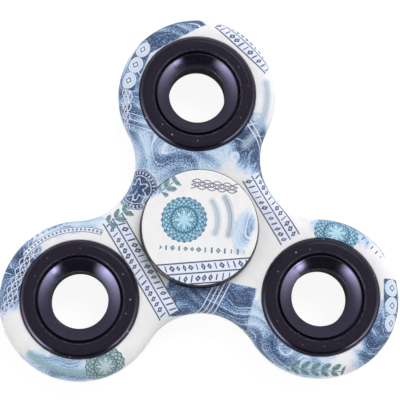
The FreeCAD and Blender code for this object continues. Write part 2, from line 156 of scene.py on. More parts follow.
MIDDLE = (body_low.z + body_high.z) / 2
ARM = Vector((0, (ring_low.y + ring_high.y) / 2, MIDDLE))
PITCH = ARM.y
THICKNESS = body_high.z - body_low.z
LOBE_RADIUS = body_high.y - PITCH
RING_RADIUS = (ring_high.x - ring_low.x) / 2
RING_FACE = ring_high.z - MIDDLE
CAP_FACE = cap_high.z - MIDDLE
BODY_FACE = THICKNESS / 2
flat_edges = radii_at("weight_ring_1", ARM, ring_high.z)
print("arm pitch %.2f mm, lobe radius %.2f mm, ring radius %.2f mm"
      % (PITCH / MM, LOBE_RADIUS / MM, RING_RADIUS / MM))
print("the ring's flat face runs from", [round(r / MM, 2) for r in flat_edges], "mm")

# %% [markdown]
# ## Camera
# The spinner lies on a table and the camera looks down on it from 300 mm up, through a long lens. It leans
# a little towards the front edge, so that each round hole shows more of its far wall. The turns are given
# as the camera's own: tilt about its sideways axis, lean about its upright axis, and roll. Shifting the aim
# point keeps the object in the middle of the frame without a lens shift.

# %% Set up the camera
CAMERA_DISTANCE = 300 * MM
SENSOR_WIDTH, FOCAL_LENGTH = 36, 143.9          # both in mm
TILT, LEAN, ROLL = [math.radians(a) for a in (-9.0, 2.27, 0.81)]
AIM = Vector((0.245 * MM, 5.94 * MM, CAMERA_DISTANCE))

scene = bpy.context.scene
to_view = Matrix.Rotation(TILT, 3, "X") @ Matrix.Rotation(LEAN, 3, "Y") @ Matrix.Rotation(ROLL, 3, "Z")
to_world = to_view.transposed()
camera = bpy.data.objects.new("camera", bpy.data.cameras.new("camera"))
camera.data.lens = FOCAL_LENGTH
camera.data.sensor_width = SENSOR_WIDTH
camera.data.clip_start = 10 * MM
camera.matrix_world = Matrix.Translation(to_world @ AIM + Vector((0, 0, MIDDLE))) @ to_world.to_4x4()
scene.collection.objects.link(camera)
scene.camera = camera
scene.view_settings.view_transform = "Standard"
print("camera at", [round(c / MM) for c in camera.matrix_world.translation], "mm")

# %% [markdown]
# ## Light
# Black gloss shows only what it reflects, so the light is designed as a set of reflections. Two large
# panels stand low at the front left and front right. Each starts at the edge nearest the camera's side,
# fades away round the room, and is brightest near the horizon. They draw the two bright wedges in every
# funnel. A small bright core stands beside the right panel's edge. Between the panels a black card, called
# a flag, keeps the near side of the room out of the gloss. A soft key light stands high on the far right.
# It and the grey room each give a level face nearly half of its light. Lamps would do, but their hard
# borders show in the gloss. So the whole studio is painted on the world instead: its shader gets the
# direction of a ray and answers how bright the room is that way. Angles are in degrees. Azimuths count from
# +X towards +Y, so 270 is the camera's side of the table.

# %% The room: lighter near the horizon than overhead
LOW_ANGLE, ROOM_LOW = 10, 0.6
HIGH_ANGLE, ROOM_HIGH = 50, 0.48
room = bpy.data.worlds.new("studio")
room.use_nodes = True
sky = room.node_tree
direction = add(sky, "ShaderNodeTexCoord").outputs["Generated"]
elevation = add(sky, "ARCSINE", [add(sky, SPLIT, [direction]).outputs["Z"]])
level = add(sky, RANGE, [elevation, math.radians(LOW_ANGLE), math.radians(HIGH_ANGLE), ROOM_LOW, ROOM_HIGH])
print("room level", ROOM_LOW, "near the horizon and", ROOM_HIGH, "overhead")


# %% Two helpers for directions
def bearing(from_azimuth):
    """How far round a ray points from an azimuth, in radians."""
    turned = add(sky, "ShaderNodeVectorRotate", {"Vector": direction, "Angle": -math.radians(from_azimuth)},
                 rotation_type="Z_AXIS")
    sides = add(sky, SPLIT, [turned]).outputs
    return add(sky, "ARCTAN2", [sides["Y"], sides["X"]])


def window(angle, middle, half, softness):
    """A soft window: 1 inside middle - half to middle + half, fading over softness outside."""
    off = add(sky, "SUBTRACT", [angle, math.radians(middle)])
    off = add(sky, "ABSOLUTE", [off])
    return add(sky, RANGE, [off, math.radians(half), math.radians(half + softness), 1.0, 0.0],
               interpolation_type="SMOOTHSTEP")


# %% The flag
FLAG_AZIMUTH, FLAG_ELEVATION = 258, 20
FLAG_SHADE = 0.88
across_flag = window(bearing(FLAG_AZIMUTH), middle=0, half=35, softness=17)
up_flag = window(elevation, middle=FLAG_ELEVATION, half=22, softness=10)
flag = add(sky, "MULTIPLY", [across_flag, up_flag])
shaded = add(sky, "MULTIPLY_ADD", [flag, -FLAG_SHADE, 1.0])
level = add(sky, "MULTIPLY", [level, shaded])
print("the flag takes", FLAG_SHADE, "of the room's light round azimuth", FLAG_AZIMUTH)

# %% Two helpers for lights
PANEL_TOP, PANEL_END = 14, 45
PANEL_FADE = 4.0
low = add(sky, RANGE, [elevation, math.radians(PANEL_TOP), math.radians(PANEL_END), 1.0, 0.0],
          interpolation_type="SMOOTHSTEP")


def panel(edge, way, rise, fade, radiance):
    """A panel that starts at one azimuth and fades away one way: 1 is anticlockwise, -1 clockwise."""
    away = add(sky, "MULTIPLY", [bearing(edge), way])
    start = add(sky, RANGE, [away, 0.0, math.radians(rise)], interpolation_type="SMOOTHSTEP")
    end = add(sky, RANGE, [away, math.radians(rise), math.radians(fade), 1.0, 0.0])
    end = add(sky, "POWER", [end, PANEL_FADE])
    lit = add(sky, "MULTIPLY", [start, end])
    lit = add(sky, "MULTIPLY", [lit, low])
    return add(sky, "MULTIPLY", [lit, radiance])


def round_light(azimuth, height, radius, softness, radiance):
    """A round soft light at an azimuth and an elevation."""
    a, e = math.radians(azimuth), math.radians(height)
    aim = (math.cos(a) * math.cos(e), math.sin(a) * math.cos(e), math.sin(e))
    near = add(sky, VECTOR_MATH, [direction, aim], operation="DOT_PRODUCT")
    off = add(sky, "ARCCOSINE", [near])
    return add(sky, "MULTIPLY", [window(off, middle=0, half=radius, softness=softness), radiance])


# %% [markdown]
# Matt surfaces and gloss don't see quite the same studio, as when a card hides a lamp from a shiny edge.
# The panels are there for their reflections. As light they count for under a third, as if a dark cloth took
# the rest, because at full strength they would bleach the pale sides of the plate. The key makes up for it.
# The key is held back in gloss instead, or it would draw a false bright crescent on every weight. And gloss
# sees the whole studio a third darker, or the flats of the weights and caps would mirror the panels white
# in low views.

# %% Add up the lights
PANELS_AS_LIGHT = 0.3
KEY_IN_GLOSS = 0.12
STUDIO_IN_GLOSS = 0.67
TINT_FROM, TINT_TO = 1.0, 6.0                   # between these levels the light turns faintly violet
path = add(sky, "ShaderNodeLightPath").outputs
in_gloss = path["Is Glossy Ray"]
share = add(sky, RANGE, [in_gloss, 0.0, 1.0, PANELS_AS_LIGHT, 1.0])
for lit in (panel(edge=242.5, way=-1, rise=24, fade=133, radiance=11.5),
            panel(edge=320.5, way=1, rise=2.5, fade=100, radiance=6.5),
            round_light(azimuth=313, height=21.5, radius=0.1, softness=12, radiance=13.7)):
    level = add(sky, "MULTIPLY_ADD", [lit, share, level])
key = round_light(azimuth=62, height=50, radius=10, softness=12, radiance=7.8)
share = add(sky, RANGE, [in_gloss, 0.0, 1.0, 1.0, KEY_IN_GLOSS])
level = add(sky, "MULTIPLY_ADD", [key, share, level])
tint = add(sky, RANGE, [level, TINT_FROM, TINT_TO])
colour = add(sky, MIX, {0: tint, 6: (1, 1, 1, 1), 7: linear("f9f8ff")}, data_type="RGBA")
share = add(sky, RANGE, [in_gloss, 0.0, 1.0, 1.0, STUDIO_IN_GLOSS])
level = add(sky, "MULTIPLY", [level, share])
studio = sky.nodes["Background"]
fill(sky, studio, {"Color": colour, "Strength": level})
print("gloss sees the key at", KEY_IN_GLOSS, "and the whole studio at", STUDIO_IN_GLOSS)

# %% [markdown]
# The camera never sees the studio: past the table's edge it sees plain white. The same goes for rays
# through glass. Gloss is the exception, because there the painted studio is the light itself.

# %% A plain white backdrop for the camera
plain_view = add(sky, "MAXIMUM", [path["Is Camera Ray"], path["Is Transmission Ray"]])
white = add(sky, "ShaderNodeBackground", {"Color": (1, 1, 1, 1), "Strength": 1.0})
shown = add(sky, "ShaderNodeMixShader", [plain_view, studio, white])
fill(sky, sky.nodes["World Output"], {"Surface": shown})
scene.world = room
print("the studio's world has", len(sky.nodes), "nodes")

# %% [markdown]
# ## Floor
# The table is plain white. A camera set for the object overexposes such a table a little, so its shadows
# come out faint. The floor does the same. To the object it is a matt white board that returns daylight. To
# the camera, and to gloss and glass, it is a glow with only a fifth of that board, so the shadow stays but
# is light. It lies a hair below the object, so that the two faces don't fight over one plane. From
# underneath the camera looks straight through it, so the back can be looked at too.

# %% A white floor
FLOOR_RADIUS = 2.0
FLOOR_GAP = 0.02 * MM
floor_mesh = bpy.data.meshes.new("floor")
shape = bmesh.new()
bmesh.ops.create_circle(shape, cap_ends=True, segments=96, radius=FLOOR_RADIUS)
shape.to_mesh(floor_mesh)
shape.free()
floor = bpy.data.objects.new("floor", floor_mesh)
floor.location.z = cad_box[0].z - FLOOR_GAP
scene.collection.objects.link(floor)
print("floor at height", round(floor.location.z / MM, 3), "mm")

# %% The floor's white board
FLOOR_GLOW = 0.9
SEEN_BOARD = 0.18
white_board = bpy.data.materials.new("white_board")
white_board.use_nodes = True
tree = white_board.node_tree
tree.nodes.clear()
path = add(tree, "ShaderNodeLightPath").outputs
seen = add(tree, "MAXIMUM", [path["Is Camera Ray"], path["Is Glossy Ray"]])
seen = add(tree, "MAXIMUM", [seen, path["Is Transmission Ray"]])
board = add(tree, "ShaderNodeBsdfDiffuse", {"Color": linear("f2f2f2")})
faint = add(tree, "ShaderNodeBsdfDiffuse", {"Color": (SEEN_BOARD, SEEN_BOARD, SEEN_BOARD, 1)})
glow = add(tree, "ShaderNodeEmission", {"Strength": FLOOR_GLOW})
faint = add(tree, "ShaderNodeAddShader", [faint, glow])
both = add(tree, "ShaderNodeMixShader", [seen, board, faint])
underneath = add(tree, "ShaderNodeNewGeometry").outputs["Backfacing"]
both = add(tree, "ShaderNodeMixShader", [underneath, both, add(tree, "ShaderNodeBsdfTransparent")])
add(tree, "ShaderNodeOutputMaterial", {"Surface": both})
floor_mesh.materials.append(white_board)
print("the floor glows at", FLOOR_GLOW, "and shows", SEEN_BOARD, "of a white board")

# %% [markdown]
# ## The print
# A spinner like this is printed by water transfer: a film of ink floats on water, the moulded plate is
# pressed through it, and the ink wraps over the edges. The design is security-paper style: engraved clouds
# of dark blue, ribbons of small marks, beaded borders and rosettes, in blue, teal and grey-green on ivory.
# An image could carry it, but a procedural print stays sharp at any size. So each motif is a small group of
# shader nodes that works in millimetres round its own middle, and tells where it covers and with what ink.
# A layout then lays the motifs on the ground, one over the other, as a printer lays inks.

# %% Inks
IVORY = linear("f1f0ed")
LAVENDER_WHITE = linear("e2e7f5")
PALE_BLUE = linear("c3d6e8")
GREY_BLUE = linear("a5b9cc")
STROKE_BLUE = linear("4d5872")
DEEP_TEAL = linear("2f7390")
PALE_TEAL = linear("b4dcec")
SAGE = linear("8db0b4")
DEEP_SAGE = linear("54777d")
ENGRAVED_SCALE = ((0.0, "cddeee"), (0.28, "a9c3dd"), (0.52, "7a98bd"), (0.76, "4e6990"), (1.0, "2a3f61"))
print("the engraving runs over", len(ENGRAVED_SCALE), "inks, from pale to night blue")


# %% Two helpers for patterns
def wave(tree, along, spacing):
    """A sine wave that repeats every spacing."""
    return add(tree, "SINE", [add(tree, "MULTIPLY", [along, math.tau / spacing])])


def soft_patches(tree, at, per_mm, detail, *limits):
    """Noise, so many patches to the mm, stretched from two limits to 0 and 1, or to two more limits."""
    noise = add(tree, NOISE, {"Vector": at, "Scale": per_mm, "Detail": detail})
    return add(tree, RANGE, [noise, *limits])


# %% [markdown]
# Engraved shading is thousands of fine lines and dots that run together into a tone. Here one number, the
# tone, moves along a scale of inks from pale to night blue. A slow noise bends straight lines into a flow.
# Broad folds, wavy lines 0.6 mm apart and a grain of 0.3 mm then push the tone up and down, and a few
# strands stay white. The grain is coarser where the tone is dark, so that the pale washes stay smooth. Real
# engraving is finer, about 0.2 mm, but would blur to a flat tone at the size it is seen.

# %% The engraved scale of inks
LINE_SPACING, LINE_DEPTH = 0.6, 0.1
FOLD_SPACING, FOLD_DEPTH = 4.2, 0.17
STRAND_SPACING = 2.1
GRAIN = 0.3
FINEST_GRAIN, COARSEST_GRAIN = 0.08, 0.33       # how far the grain pushes a pale tone, and a dark one
ACROSS_LINES = (0.5, 0.87, 0)
BEND_SCALE, BEND_REACH = 0.085, 26.0
tree, given, made = start_tree("engraved_ink", "Shader", {
    "At": "Vector", "Tone": "Float"}, {"Ink": "Color"})
bend = add(tree, NOISE, {"Vector": given["At"], "Scale": BEND_SCALE, "Detail": 1.0})
across = add(tree, VECTOR_MATH, [given["At"], ACROSS_LINES], operation="DOT_PRODUCT")
flow = add(tree, "MULTIPLY_ADD", [bend, BEND_REACH, across])
spacings = (LINE_SPACING, STRAND_SPACING, FOLD_SPACING)
lines, strands, folds = [wave(tree, flow, spacing) for spacing in spacings]
push = add(tree, RANGE, [given["Tone"], 0.0, 0.7, FINEST_GRAIN, COARSEST_GRAIN])
pull = add(tree, "MULTIPLY", [push, -1.0])
grain = soft_patches(tree, given["At"], 1 / GRAIN, 1.0, 0.3, 0.7, pull, push)
tone = add(tree, "MULTIPLY_ADD", [folds, FOLD_DEPTH, given["Tone"]])
tone = add(tree, "MULTIPLY_ADD", [lines, LINE_DEPTH, tone])
tone = add(tree, "ADD", [tone, grain])
white_strands = add(tree, RANGE, [strands, 0.86, 0.97])
here_and_there = soft_patches(tree, given["At"], 0.16, 2.0, 0.45, 0.6, 0.0, 0.7)
white_strands = add(tree, "MULTIPLY", [white_strands, here_and_there])
tone = add(tree, "SUBTRACT", [tone, white_strands])
scale = add(tree, "ShaderNodeValToRGB", [tone])
stops = scale.color_ramp.elements
for position, hex_code in ENGRAVED_SCALE:
    stop = stops[0] if position == 0 else stops[-1] if position == 1 else stops.new(position)
    stop.color = linear(hex_code)
fill(tree, made, {"Ink": scale})
engraved_ink = tree
print("engraved lines every", LINE_SPACING, "mm, grain", GRAIN, "mm")

# %% [markdown]
# Ribbons carry rows of small marks: thin solid bars, and hollow diamonds with a pip. Each cell of a row
# draws its mark from three random numbers, so no two stretches are alike. The mark is a superellipse: its
# power is 1 for a diamond, and 5 for a bar with square ends.

# %% A row of marks
WIDEST_DIAMOND, WIDEST_BAR = 0.5, 0.15          # half widths, as parts of a cell
HOLLOW, PIP = 0.3, 0.1
tree, given, made = start_tree("marks", "Shader", {
    "At": "Vector", "Pitch": "Float", "Height": "Float", "Seed": "Float"}, {"Mark": "Float"})
at = add(tree, SPLIT, [given["At"]]).outputs
steps = add(tree, "DIVIDE", [at["X"], given["Pitch"]])
cell = add(tree, "FLOOR", [steps])
along = add(tree, "SUBTRACT", [steps, cell])
along = add(tree, "SUBTRACT", [along, 0.5])
chance = add(tree, "ADD", [cell, given["Seed"]])
chance = add(tree, "ShaderNodeTexWhiteNoise", {"W": chance}, noise_dimensions="1D").outputs["Color"]
chance = add(tree, SPLIT, [chance]).outputs
is_bar = add(tree, "GREATER_THAN", [chance["Z"], 0.5])
widest = add(tree, RANGE, [is_bar, 0.0, 1.0, WIDEST_DIAMOND, WIDEST_BAR])
width = add(tree, RANGE, [chance["X"], 0.0, 1.0, 0.6, 1.0])
width = add(tree, "MULTIPLY", [width, widest])
height = add(tree, RANGE, [chance["Y"], 0.0, 1.0, 0.36, 0.5])
height = add(tree, "MULTIPLY", [height, given["Height"]])
power = add(tree, "MULTIPLY_ADD", [is_bar, 4.0, 1.0])
parts = []
for distance, half_size in ((along, width), (at["Y"], height)):
    part = add(tree, "ABSOLUTE", [add(tree, "DIVIDE", [distance, half_size])])
    parts.append(add(tree, "POWER", [part, power]))
reach = add(tree, "ADD", parts)
solid = add(tree, "LESS_THAN", [reach, 1.0])
hollow = add(tree, "LESS_THAN", [reach, HOLLOW])
hollow = add(tree, "SUBTRACT", [hollow, add(tree, "LESS_THAN", [reach, PIP])])
hollow = add(tree, "MULTIPLY", [hollow, add(tree, "SUBTRACT", [1.0, is_bar])])
fill(tree, made, {"Mark": add(tree, "SUBTRACT", [solid, hollow])})
marks = tree
print("a mark takes", len(tree.nodes), "nodes")


# %% Helpers for motifs
def start_motif(name, sizes):
    """Start a motif with named sizes. Returns its tree, its inputs, its output node, and its X and Y."""
    tree, given, made = start_tree(
        name, "Shader", {"At": "Vector", **sizes}, {"Cover": "Float", "Ink": "Color"})
    return tree, given, made, add(tree, SPLIT, [given["At"]]).outputs


def polar(tree, given, at):
    """A place as an angle round the motif's middle and a distance from it."""
    angle = add(tree, "ARCTAN2", [at["Y"], at["X"]])
    return angle, add(tree, VECTOR_MATH, [given["At"]], operation="LENGTH")


def wavy_edge(tree, angle, waves, depth, size):
    """How far out an edge lies that swings in and out with the angle, as a star's or a scallop's does."""
    swing = add(tree, "COSINE", [add(tree, "MULTIPLY", [angle, waves])])
    return add(tree, "MULTIPLY_ADD", [swing, depth, size])


def cut_ends(tree, given, at, cover):
    """End a straight motif at its half length on both sides."""
    off_middle = add(tree, "ABSOLUTE", [at["X"]])
    before_end = add(tree, "LESS_THAN", [off_middle, given["Half Length"]])
    return add(tree, "MULTIPLY", [cover, before_end])


def finish_motif(tree, made, cover, ink):
    """Fill a motif's outputs: where it covers, and with what ink."""
    fill(tree, made, {"Cover": cover, "Ink": ink})
    print("motif", tree.name, "has", len(tree.nodes), "nodes")
    return tree


# %% A ribbon: two slanted rows of marks between rails, 4.2 mm wide
HALF_RIBBON = 2.1
RAIL = 0.13
SLANT = 0.25
OTHER_ROW = 37.0                                # sets the second row's random numbers apart
tree, given, made, at = start_motif("ribbon", {"Half Length": "Float", "Seed": "Float"})
off_middle = add(tree, "ABSOLUTE", [at["Y"]])
outer_rail = add(tree, "COMPARE", [off_middle, HALF_RIBBON - RAIL, RAIL])
middle_rail = add(tree, "LESS_THAN", [off_middle, RAIL])
off_row = add(tree, "SUBTRACT", [off_middle, HALF_RIBBON / 2])
slanted = add(tree, "MULTIPLY_ADD", [off_row, SLANT, at["X"]])
side = add(tree, "SIGN", [at["Y"]])
row = add(tree, "ShaderNodeGroup", {
    "At": add(tree, JOIN, [slanted, off_row]), "Pitch": 1.15, "Height": 1.5,
    "Seed": add(tree, "MULTIPLY_ADD", [side, OTHER_ROW, given["Seed"]])}, node_tree=marks)
drawn = add(tree, "MAXIMUM", [add(tree, "MAXIMUM", [outer_rail, middle_rail]), row])
colour = add(tree, MIX, {0: drawn, 6: LAVENDER_WHITE, 7: STROKE_BLUE}, data_type="RGBA")
inside = add(tree, "LESS_THAN", [off_middle, HALF_RIBBON])
ribbon = finish_motif(tree, made, cut_ends(tree, given, at, inside), colour)

# %% A single row of marks in grey-green, without rails
tree, given, made, at = start_motif("mark_row", {"Half Length": "Float", "Seed": "Float"})
row = add(tree, "ShaderNodeGroup", {"At": given["At"], "Pitch": 1.2, "Height": 1.15, "Seed": given["Seed"]},
          node_tree=marks)
fade = add(tree, NOISE, {"Vector": given["At"], "Scale": 0.4})
colour = add(tree, MIX, {0: fade, 6: linear("6f8f9c"), 7: linear("4f6b86")}, data_type="RGBA")
mark_row = finish_motif(tree, made, cut_ends(tree, given, at, row), colour)

# %% [markdown]
# A chain of oval cells runs along some of the edges. Math's Wrap folds the distance along the chain into
# one cell, so one oval, drawn once, repeats for ever. The same trick makes the beads and the leaves.

# %% A chain of pale cells on dark ground
CELL_PITCH = 3.3
HALF_CHAIN = 1.7
HALF_OVAL = (1.6, 1.4, 1)
tree, given, made, at = start_motif("cell_chain", {"Half Length": "Float"})
folded = add(tree, "WRAP", [at["X"], CELL_PITCH / 2, -CELL_PITCH / 2])
oval = add(tree, VECTOR_MATH, [add(tree, JOIN, [folded, at["Y"]]), HALF_OVAL], operation="DIVIDE")
reach = add(tree, VECTOR_MATH, [oval], operation="LENGTH")
diamond = add(tree, VECTOR_MATH, [oval], operation="ABSOLUTE")
diamond = add(tree, VECTOR_MATH, [diamond, (1, 1, 0)], operation="DOT_PRODUCT")
diamond = add(tree, "COMPARE", [diamond, 0.36, 0.09])
ground = add(tree, "ShaderNodeGroup", {"At": given["At"], "Tone": 0.72}, node_tree=engraved_ink)
inside = add(tree, RANGE, [reach, 0.25, 0.9])
inside = add(tree, MIX, {0: inside, 6: LAVENDER_WHITE, 7: PALE_BLUE}, data_type="RGBA")
inside = add(tree, MIX, {0: diamond, 6: inside, 7: STROKE_BLUE}, data_type="RGBA")
in_oval = add(tree, "LESS_THAN", [reach, 0.9])
colour = add(tree, MIX, {0: in_oval, 6: ground, 7: inside}, data_type="RGBA")
line = add(tree, "COMPARE", [reach, 0.95, 0.055])
colour = add(tree, MIX, {0: line, 6: colour, 7: LAVENDER_WHITE}, data_type="RGBA")
inside = add(tree, "LESS_THAN", [add(tree, "ABSOLUTE", [at["Y"]]), HALF_CHAIN])
cell_chain = finish_motif(tree, made, cut_ends(tree, given, at, inside), colour)

# %% A spray of paired leaves on a stem
LEAF_PITCH = 1.9
LEAF_OFF_STEM = 0.8
LEAF_ANGLE = math.radians(-38)
HALF_LEAF = (1.05, 0.55, 1)
HALF_STEM, HALF_VEIN = 0.1, 0.08
tree, given, made, at = start_motif("leaf_spray", {"Half Length": "Float"})
off_stem = add(tree, "ABSOLUTE", [at["Y"]])
folded = add(tree, "WRAP", [at["X"], LEAF_PITCH / 2, -LEAF_PITCH / 2])
leaf = add(tree, JOIN, [folded, add(tree, "SUBTRACT", [off_stem, LEAF_OFF_STEM])])
leaf = add(tree, "ShaderNodeVectorRotate", {"Vector": leaf, "Angle": LEAF_ANGLE}, rotation_type="Z_AXIS")
reach = add(tree, VECTOR_MATH, [leaf, HALF_LEAF], operation="DIVIDE")
reach = add(tree, VECTOR_MATH, [reach], operation="LENGTH")
in_leaf = add(tree, RANGE, [reach, 1.0, 0.86])
stem = add(tree, "LESS_THAN", [off_stem, HALF_STEM])
drawn = add(tree, "MAXIMUM", [in_leaf, stem])
off_vein = add(tree, "ABSOLUTE", [add(tree, SPLIT, [leaf]).outputs["Y"]])
vein = add(tree, "LESS_THAN", [off_vein, HALF_VEIN])
shade = add(tree, "MAXIMUM", [soft_patches(tree, given["At"], 2.6, 1.0, 0.35, 0.65), vein])
colour = add(tree, MIX, {0: shade, 6: SAGE, 7: DEEP_SAGE}, data_type="RGBA")
leaf_spray = finish_motif(tree, made, cut_ends(tree, given, at, drawn), colour)

# %% [markdown]
# A rosette is lace made of two families of rings. Each ring swings in and out with the angle, one family
# against the other, and where they cross they leave small curved cells. An engraver's rose engine cuts them
# into metal the same way. The band, the rim and the star are measured as parts of the radius, and the lace
# keeps its own spacing, so one rosette serves at any size.

# %% A rosette
LACE_SPACING = 0.9
LACE_SWING = 0.34
BAND, HALF_BAND = 0.56, 0.035
STAR_POINTS, STAR_SIZE, STAR_DEPTH = 8.0, 0.3, 0.13
SCALLOP = 0.025
tree, given, made, at = start_motif("rosette", {
    "Radius": "Float", "Petals": "Float", "Light": "Color", "Deep": "Color"})
angle, reach = polar(tree, given, at)
part = add(tree, "DIVIDE", [reach, given["Radius"]])
turn = add(tree, "MULTIPLY", [angle, given["Petals"]])
swing = add(tree, "MULTIPLY", [add(tree, "SINE", [turn]), LACE_SWING])
families = [wave(tree, add(tree, way, [reach, swing]), LACE_SPACING) for way in ("ADD", "SUBTRACT")]
lace = add(tree, RANGE, [add(tree, "MAXIMUM", families), 0.2, 0.95])
grain = soft_patches(tree, given["At"], 1.6, 2.0, 0.35, 0.7, 0.0, 0.55)
shade = add(tree, "MULTIPLY_ADD", [lace, 0.75, grain])
rim = add(tree, RANGE, [part, 0.86, 0.97])
band = add(tree, "COMPARE", [part, BAND, HALF_BAND])
shade = add(tree, "MAXIMUM", [shade, add(tree, "MAXIMUM", [rim, band])])
star = wavy_edge(tree, angle, STAR_POINTS, STAR_DEPTH, STAR_SIZE)
in_star = add(tree, "LESS_THAN", [part, star])
shade = add(tree, "SUBTRACT", [shade, add(tree, "MULTIPLY", [in_star, 0.9])], use_clamp=True)
colour = add(tree, MIX, {0: shade, 6: given["Light"], 7: given["Deep"]}, data_type="RGBA")
scallop = wavy_edge(tree, turn, 2.0, SCALLOP, 1 - SCALLOP)
rosette = finish_motif(tree, made, add(tree, "LESS_THAN", [part, scallop]), colour)

# %% A dark medallion with a ring of ticks and a star
TICKS = 30
HALF_TICK = 0.2                                 # as a part of the way to the next tick
STAR_POINTS, STAR_SIZE, STAR_DEPTH = 6.0, 0.42, 0.12
tree, given, made, at = start_motif("medallion", {"Radius": "Float"})
angle, reach = polar(tree, given, at)
part = add(tree, "DIVIDE", [reach, given["Radius"]])
tick = add(tree, "MULTIPLY", [angle, TICKS / math.tau])
tick = add(tree, "WRAP", [tick, 0.5, -0.5])
tick = add(tree, "COMPARE", [tick, 0.0, HALF_TICK])
tick = add(tree, "MULTIPLY", [tick, add(tree, "COMPARE", [part, 0.84, 0.06])])
line = add(tree, "COMPARE", [part, 0.7, 0.02])
fine_line = add(tree, "COMPARE", [part, 0.95, 0.012])
star = wavy_edge(tree, angle, STAR_POINTS, STAR_DEPTH, STAR_SIZE)
star_line = add(tree, "COMPARE", [part, star, 0.04])
drawn = tick
for stroke in (line, fine_line, star_line):
    drawn = add(tree, "MAXIMUM", [drawn, stroke])
drawn = add(tree, "MULTIPLY", [drawn, 0.8])
ground = add(tree, "ShaderNodeGroup", {"At": given["At"], "Tone": 0.85}, node_tree=engraved_ink)
colour = add(tree, MIX, {0: drawn, 6: ground, 7: LAVENDER_WHITE}, data_type="RGBA")
medallion = finish_motif(tree, made, add(tree, "LESS_THAN", [part, 1.0]), colour)

# %% [markdown]
# Smaller motifs fill the gaps: a beaded border that bends along an arc, a soft arc like a watermark, a pair
# of white lines cut through the dark clouds, and a braid of six sine waves, three wide and three narrow.

# %% A beaded border along an arc
BEAD_PITCH, BEAD_RADIUS = 0.76, 0.24
BEAD_RAIL, HALF_RAIL = 0.46, 0.07
tree, given, made, at = start_motif("beads", {"Radius": "Float", "Half Angle": "Float"})
angle, reach = polar(tree, given, at)
across = add(tree, "SUBTRACT", [reach, given["Radius"]])
along = add(tree, "MULTIPLY", [angle, given["Radius"]])
along = add(tree, "WRAP", [along, BEAD_PITCH / 2, -BEAD_PITCH / 2])
bead = add(tree, VECTOR_MATH, [add(tree, JOIN, [along, across])], operation="LENGTH")
bead = add(tree, "LESS_THAN", [bead, BEAD_RADIUS])
off_middle = add(tree, "ABSOLUTE", [across])
rail = add(tree, "COMPARE", [off_middle, BEAD_RAIL, HALF_RAIL])
drawn = add(tree, "MULTIPLY", [add(tree, "MAXIMUM", [bead, rail]), 0.85])
colour = add(tree, MIX, {0: drawn, 6: LAVENDER_WHITE, 7: STROKE_BLUE}, data_type="RGBA")
inside = add(tree, "LESS_THAN", [off_middle, BEAD_RAIL + HALF_RAIL])
before_end = add(tree, "LESS_THAN", [add(tree, "ABSOLUTE", [angle]), given["Half Angle"]])
beads = finish_motif(tree, made, add(tree, "MULTIPLY", [inside, before_end]), colour)

# %% A soft arc, finely hatched
HATCH_SPACING = 0.5
tree, given, made, at = start_motif("soft_arc", {
    "Radius": "Float", "Half Angle": "Float", "Half Width": "Float", "Tint": "Color"})
angle, reach = polar(tree, given, at)
past_end = add(tree, "SUBTRACT", [add(tree, "ABSOLUTE", [angle]), given["Half Angle"]])
past_end = add(tree, "MULTIPLY", [past_end, given["Radius"]])
past_end = add(tree, "MAXIMUM", [past_end, 0.0])
across = add(tree, "SUBTRACT", [reach, given["Radius"]])
reach = add(tree, VECTOR_MATH, [add(tree, JOIN, [past_end, across])], operation="LENGTH")
reach = add(tree, "DIVIDE", [reach, given["Half Width"]])
grain = add(tree, NOISE, {"Vector": given["At"], "Scale": 1 / GRAIN, "Detail": 1.0})
reach = add(tree, "MULTIPLY_ADD", [grain, 0.7, reach])
cover = add(tree, RANGE, [reach, 1.4, 0.45], interpolation_type="SMOOTHSTEP")
hatch = add(tree, RANGE, [wave(tree, across, HATCH_SPACING), -1.0, 1.0, 0.62, 1.0])
soft_arc = finish_motif(tree, made, add(tree, "MULTIPLY", [cover, hatch]), given["Tint"])

# %% A pair of white lines
TWIN_OFFSET, HALF_TWIN = 0.42, 0.1
tree, given, made, at = start_motif("twin_lines", {"Half Length": "Float"})
line = add(tree, "COMPARE", [add(tree, "ABSOLUTE", [at["Y"]]), TWIN_OFFSET, HALF_TWIN])
twin_lines = finish_motif(tree, made, cut_ends(tree, given, at, line), LAVENDER_WHITE)

# %% A braid of six strands
STRANDS = 6
BRAID_PITCH = 5.6
HALF_STRAND = 0.1
tree, given, made, at = start_motif("braid", {
    "Half Length": "Float", "Half Width": "Float", "Tint": "Color"})
phase = add(tree, "MULTIPLY", [at["X"], math.tau / BRAID_PITCH])
drawn = 0.0
for strand in range(STRANDS):
    swing = add(tree, "SINE", [add(tree, "ADD", [phase, strand * math.tau / STRANDS])])
    swing = add(tree, "MULTIPLY", [swing, 1.0 if strand % 2 else 0.5])
    middle = add(tree, "MULTIPLY", [swing, given["Half Width"]])
    line = add(tree, "COMPARE", [middle, at["Y"], HALF_STRAND])
    drawn = add(tree, "MAXIMUM", [line, drawn])
cover = add(tree, "MULTIPLY", [cut_ends(tree, given, at, drawn), 0.9])
braid = finish_motif(tree, made, cover, given["Tint"])

# %% [markdown]
# ## Laying out the print
# Two helpers build the finished design. The first one joins soft discs and crisp blocks of engraving into
# one cover and one tone, so that neighbouring clouds melt together. The second stamps motifs over whatever
# lies below. Both place things with a Mapping node of the Texture kind, which turns the plate's millimetres
# into the motif's own.

# %% Helpers for layouts
RAGGED_FROM = 0.2                               # clouds softer than this get ragged edges


def own_place(tree, at, x, y, angle, half_length=1, half_width=1):
    """A place on the plate as a motif sees it: round its own middle, and along its own length."""
    return add(tree, "ShaderNodeMapping", {
        "Vector": at, "Location": (x, y, 0), "Rotation": (0, 0, math.radians(angle)),
        "Scale": (half_length, half_width, 1)}, vector_type="TEXTURE")


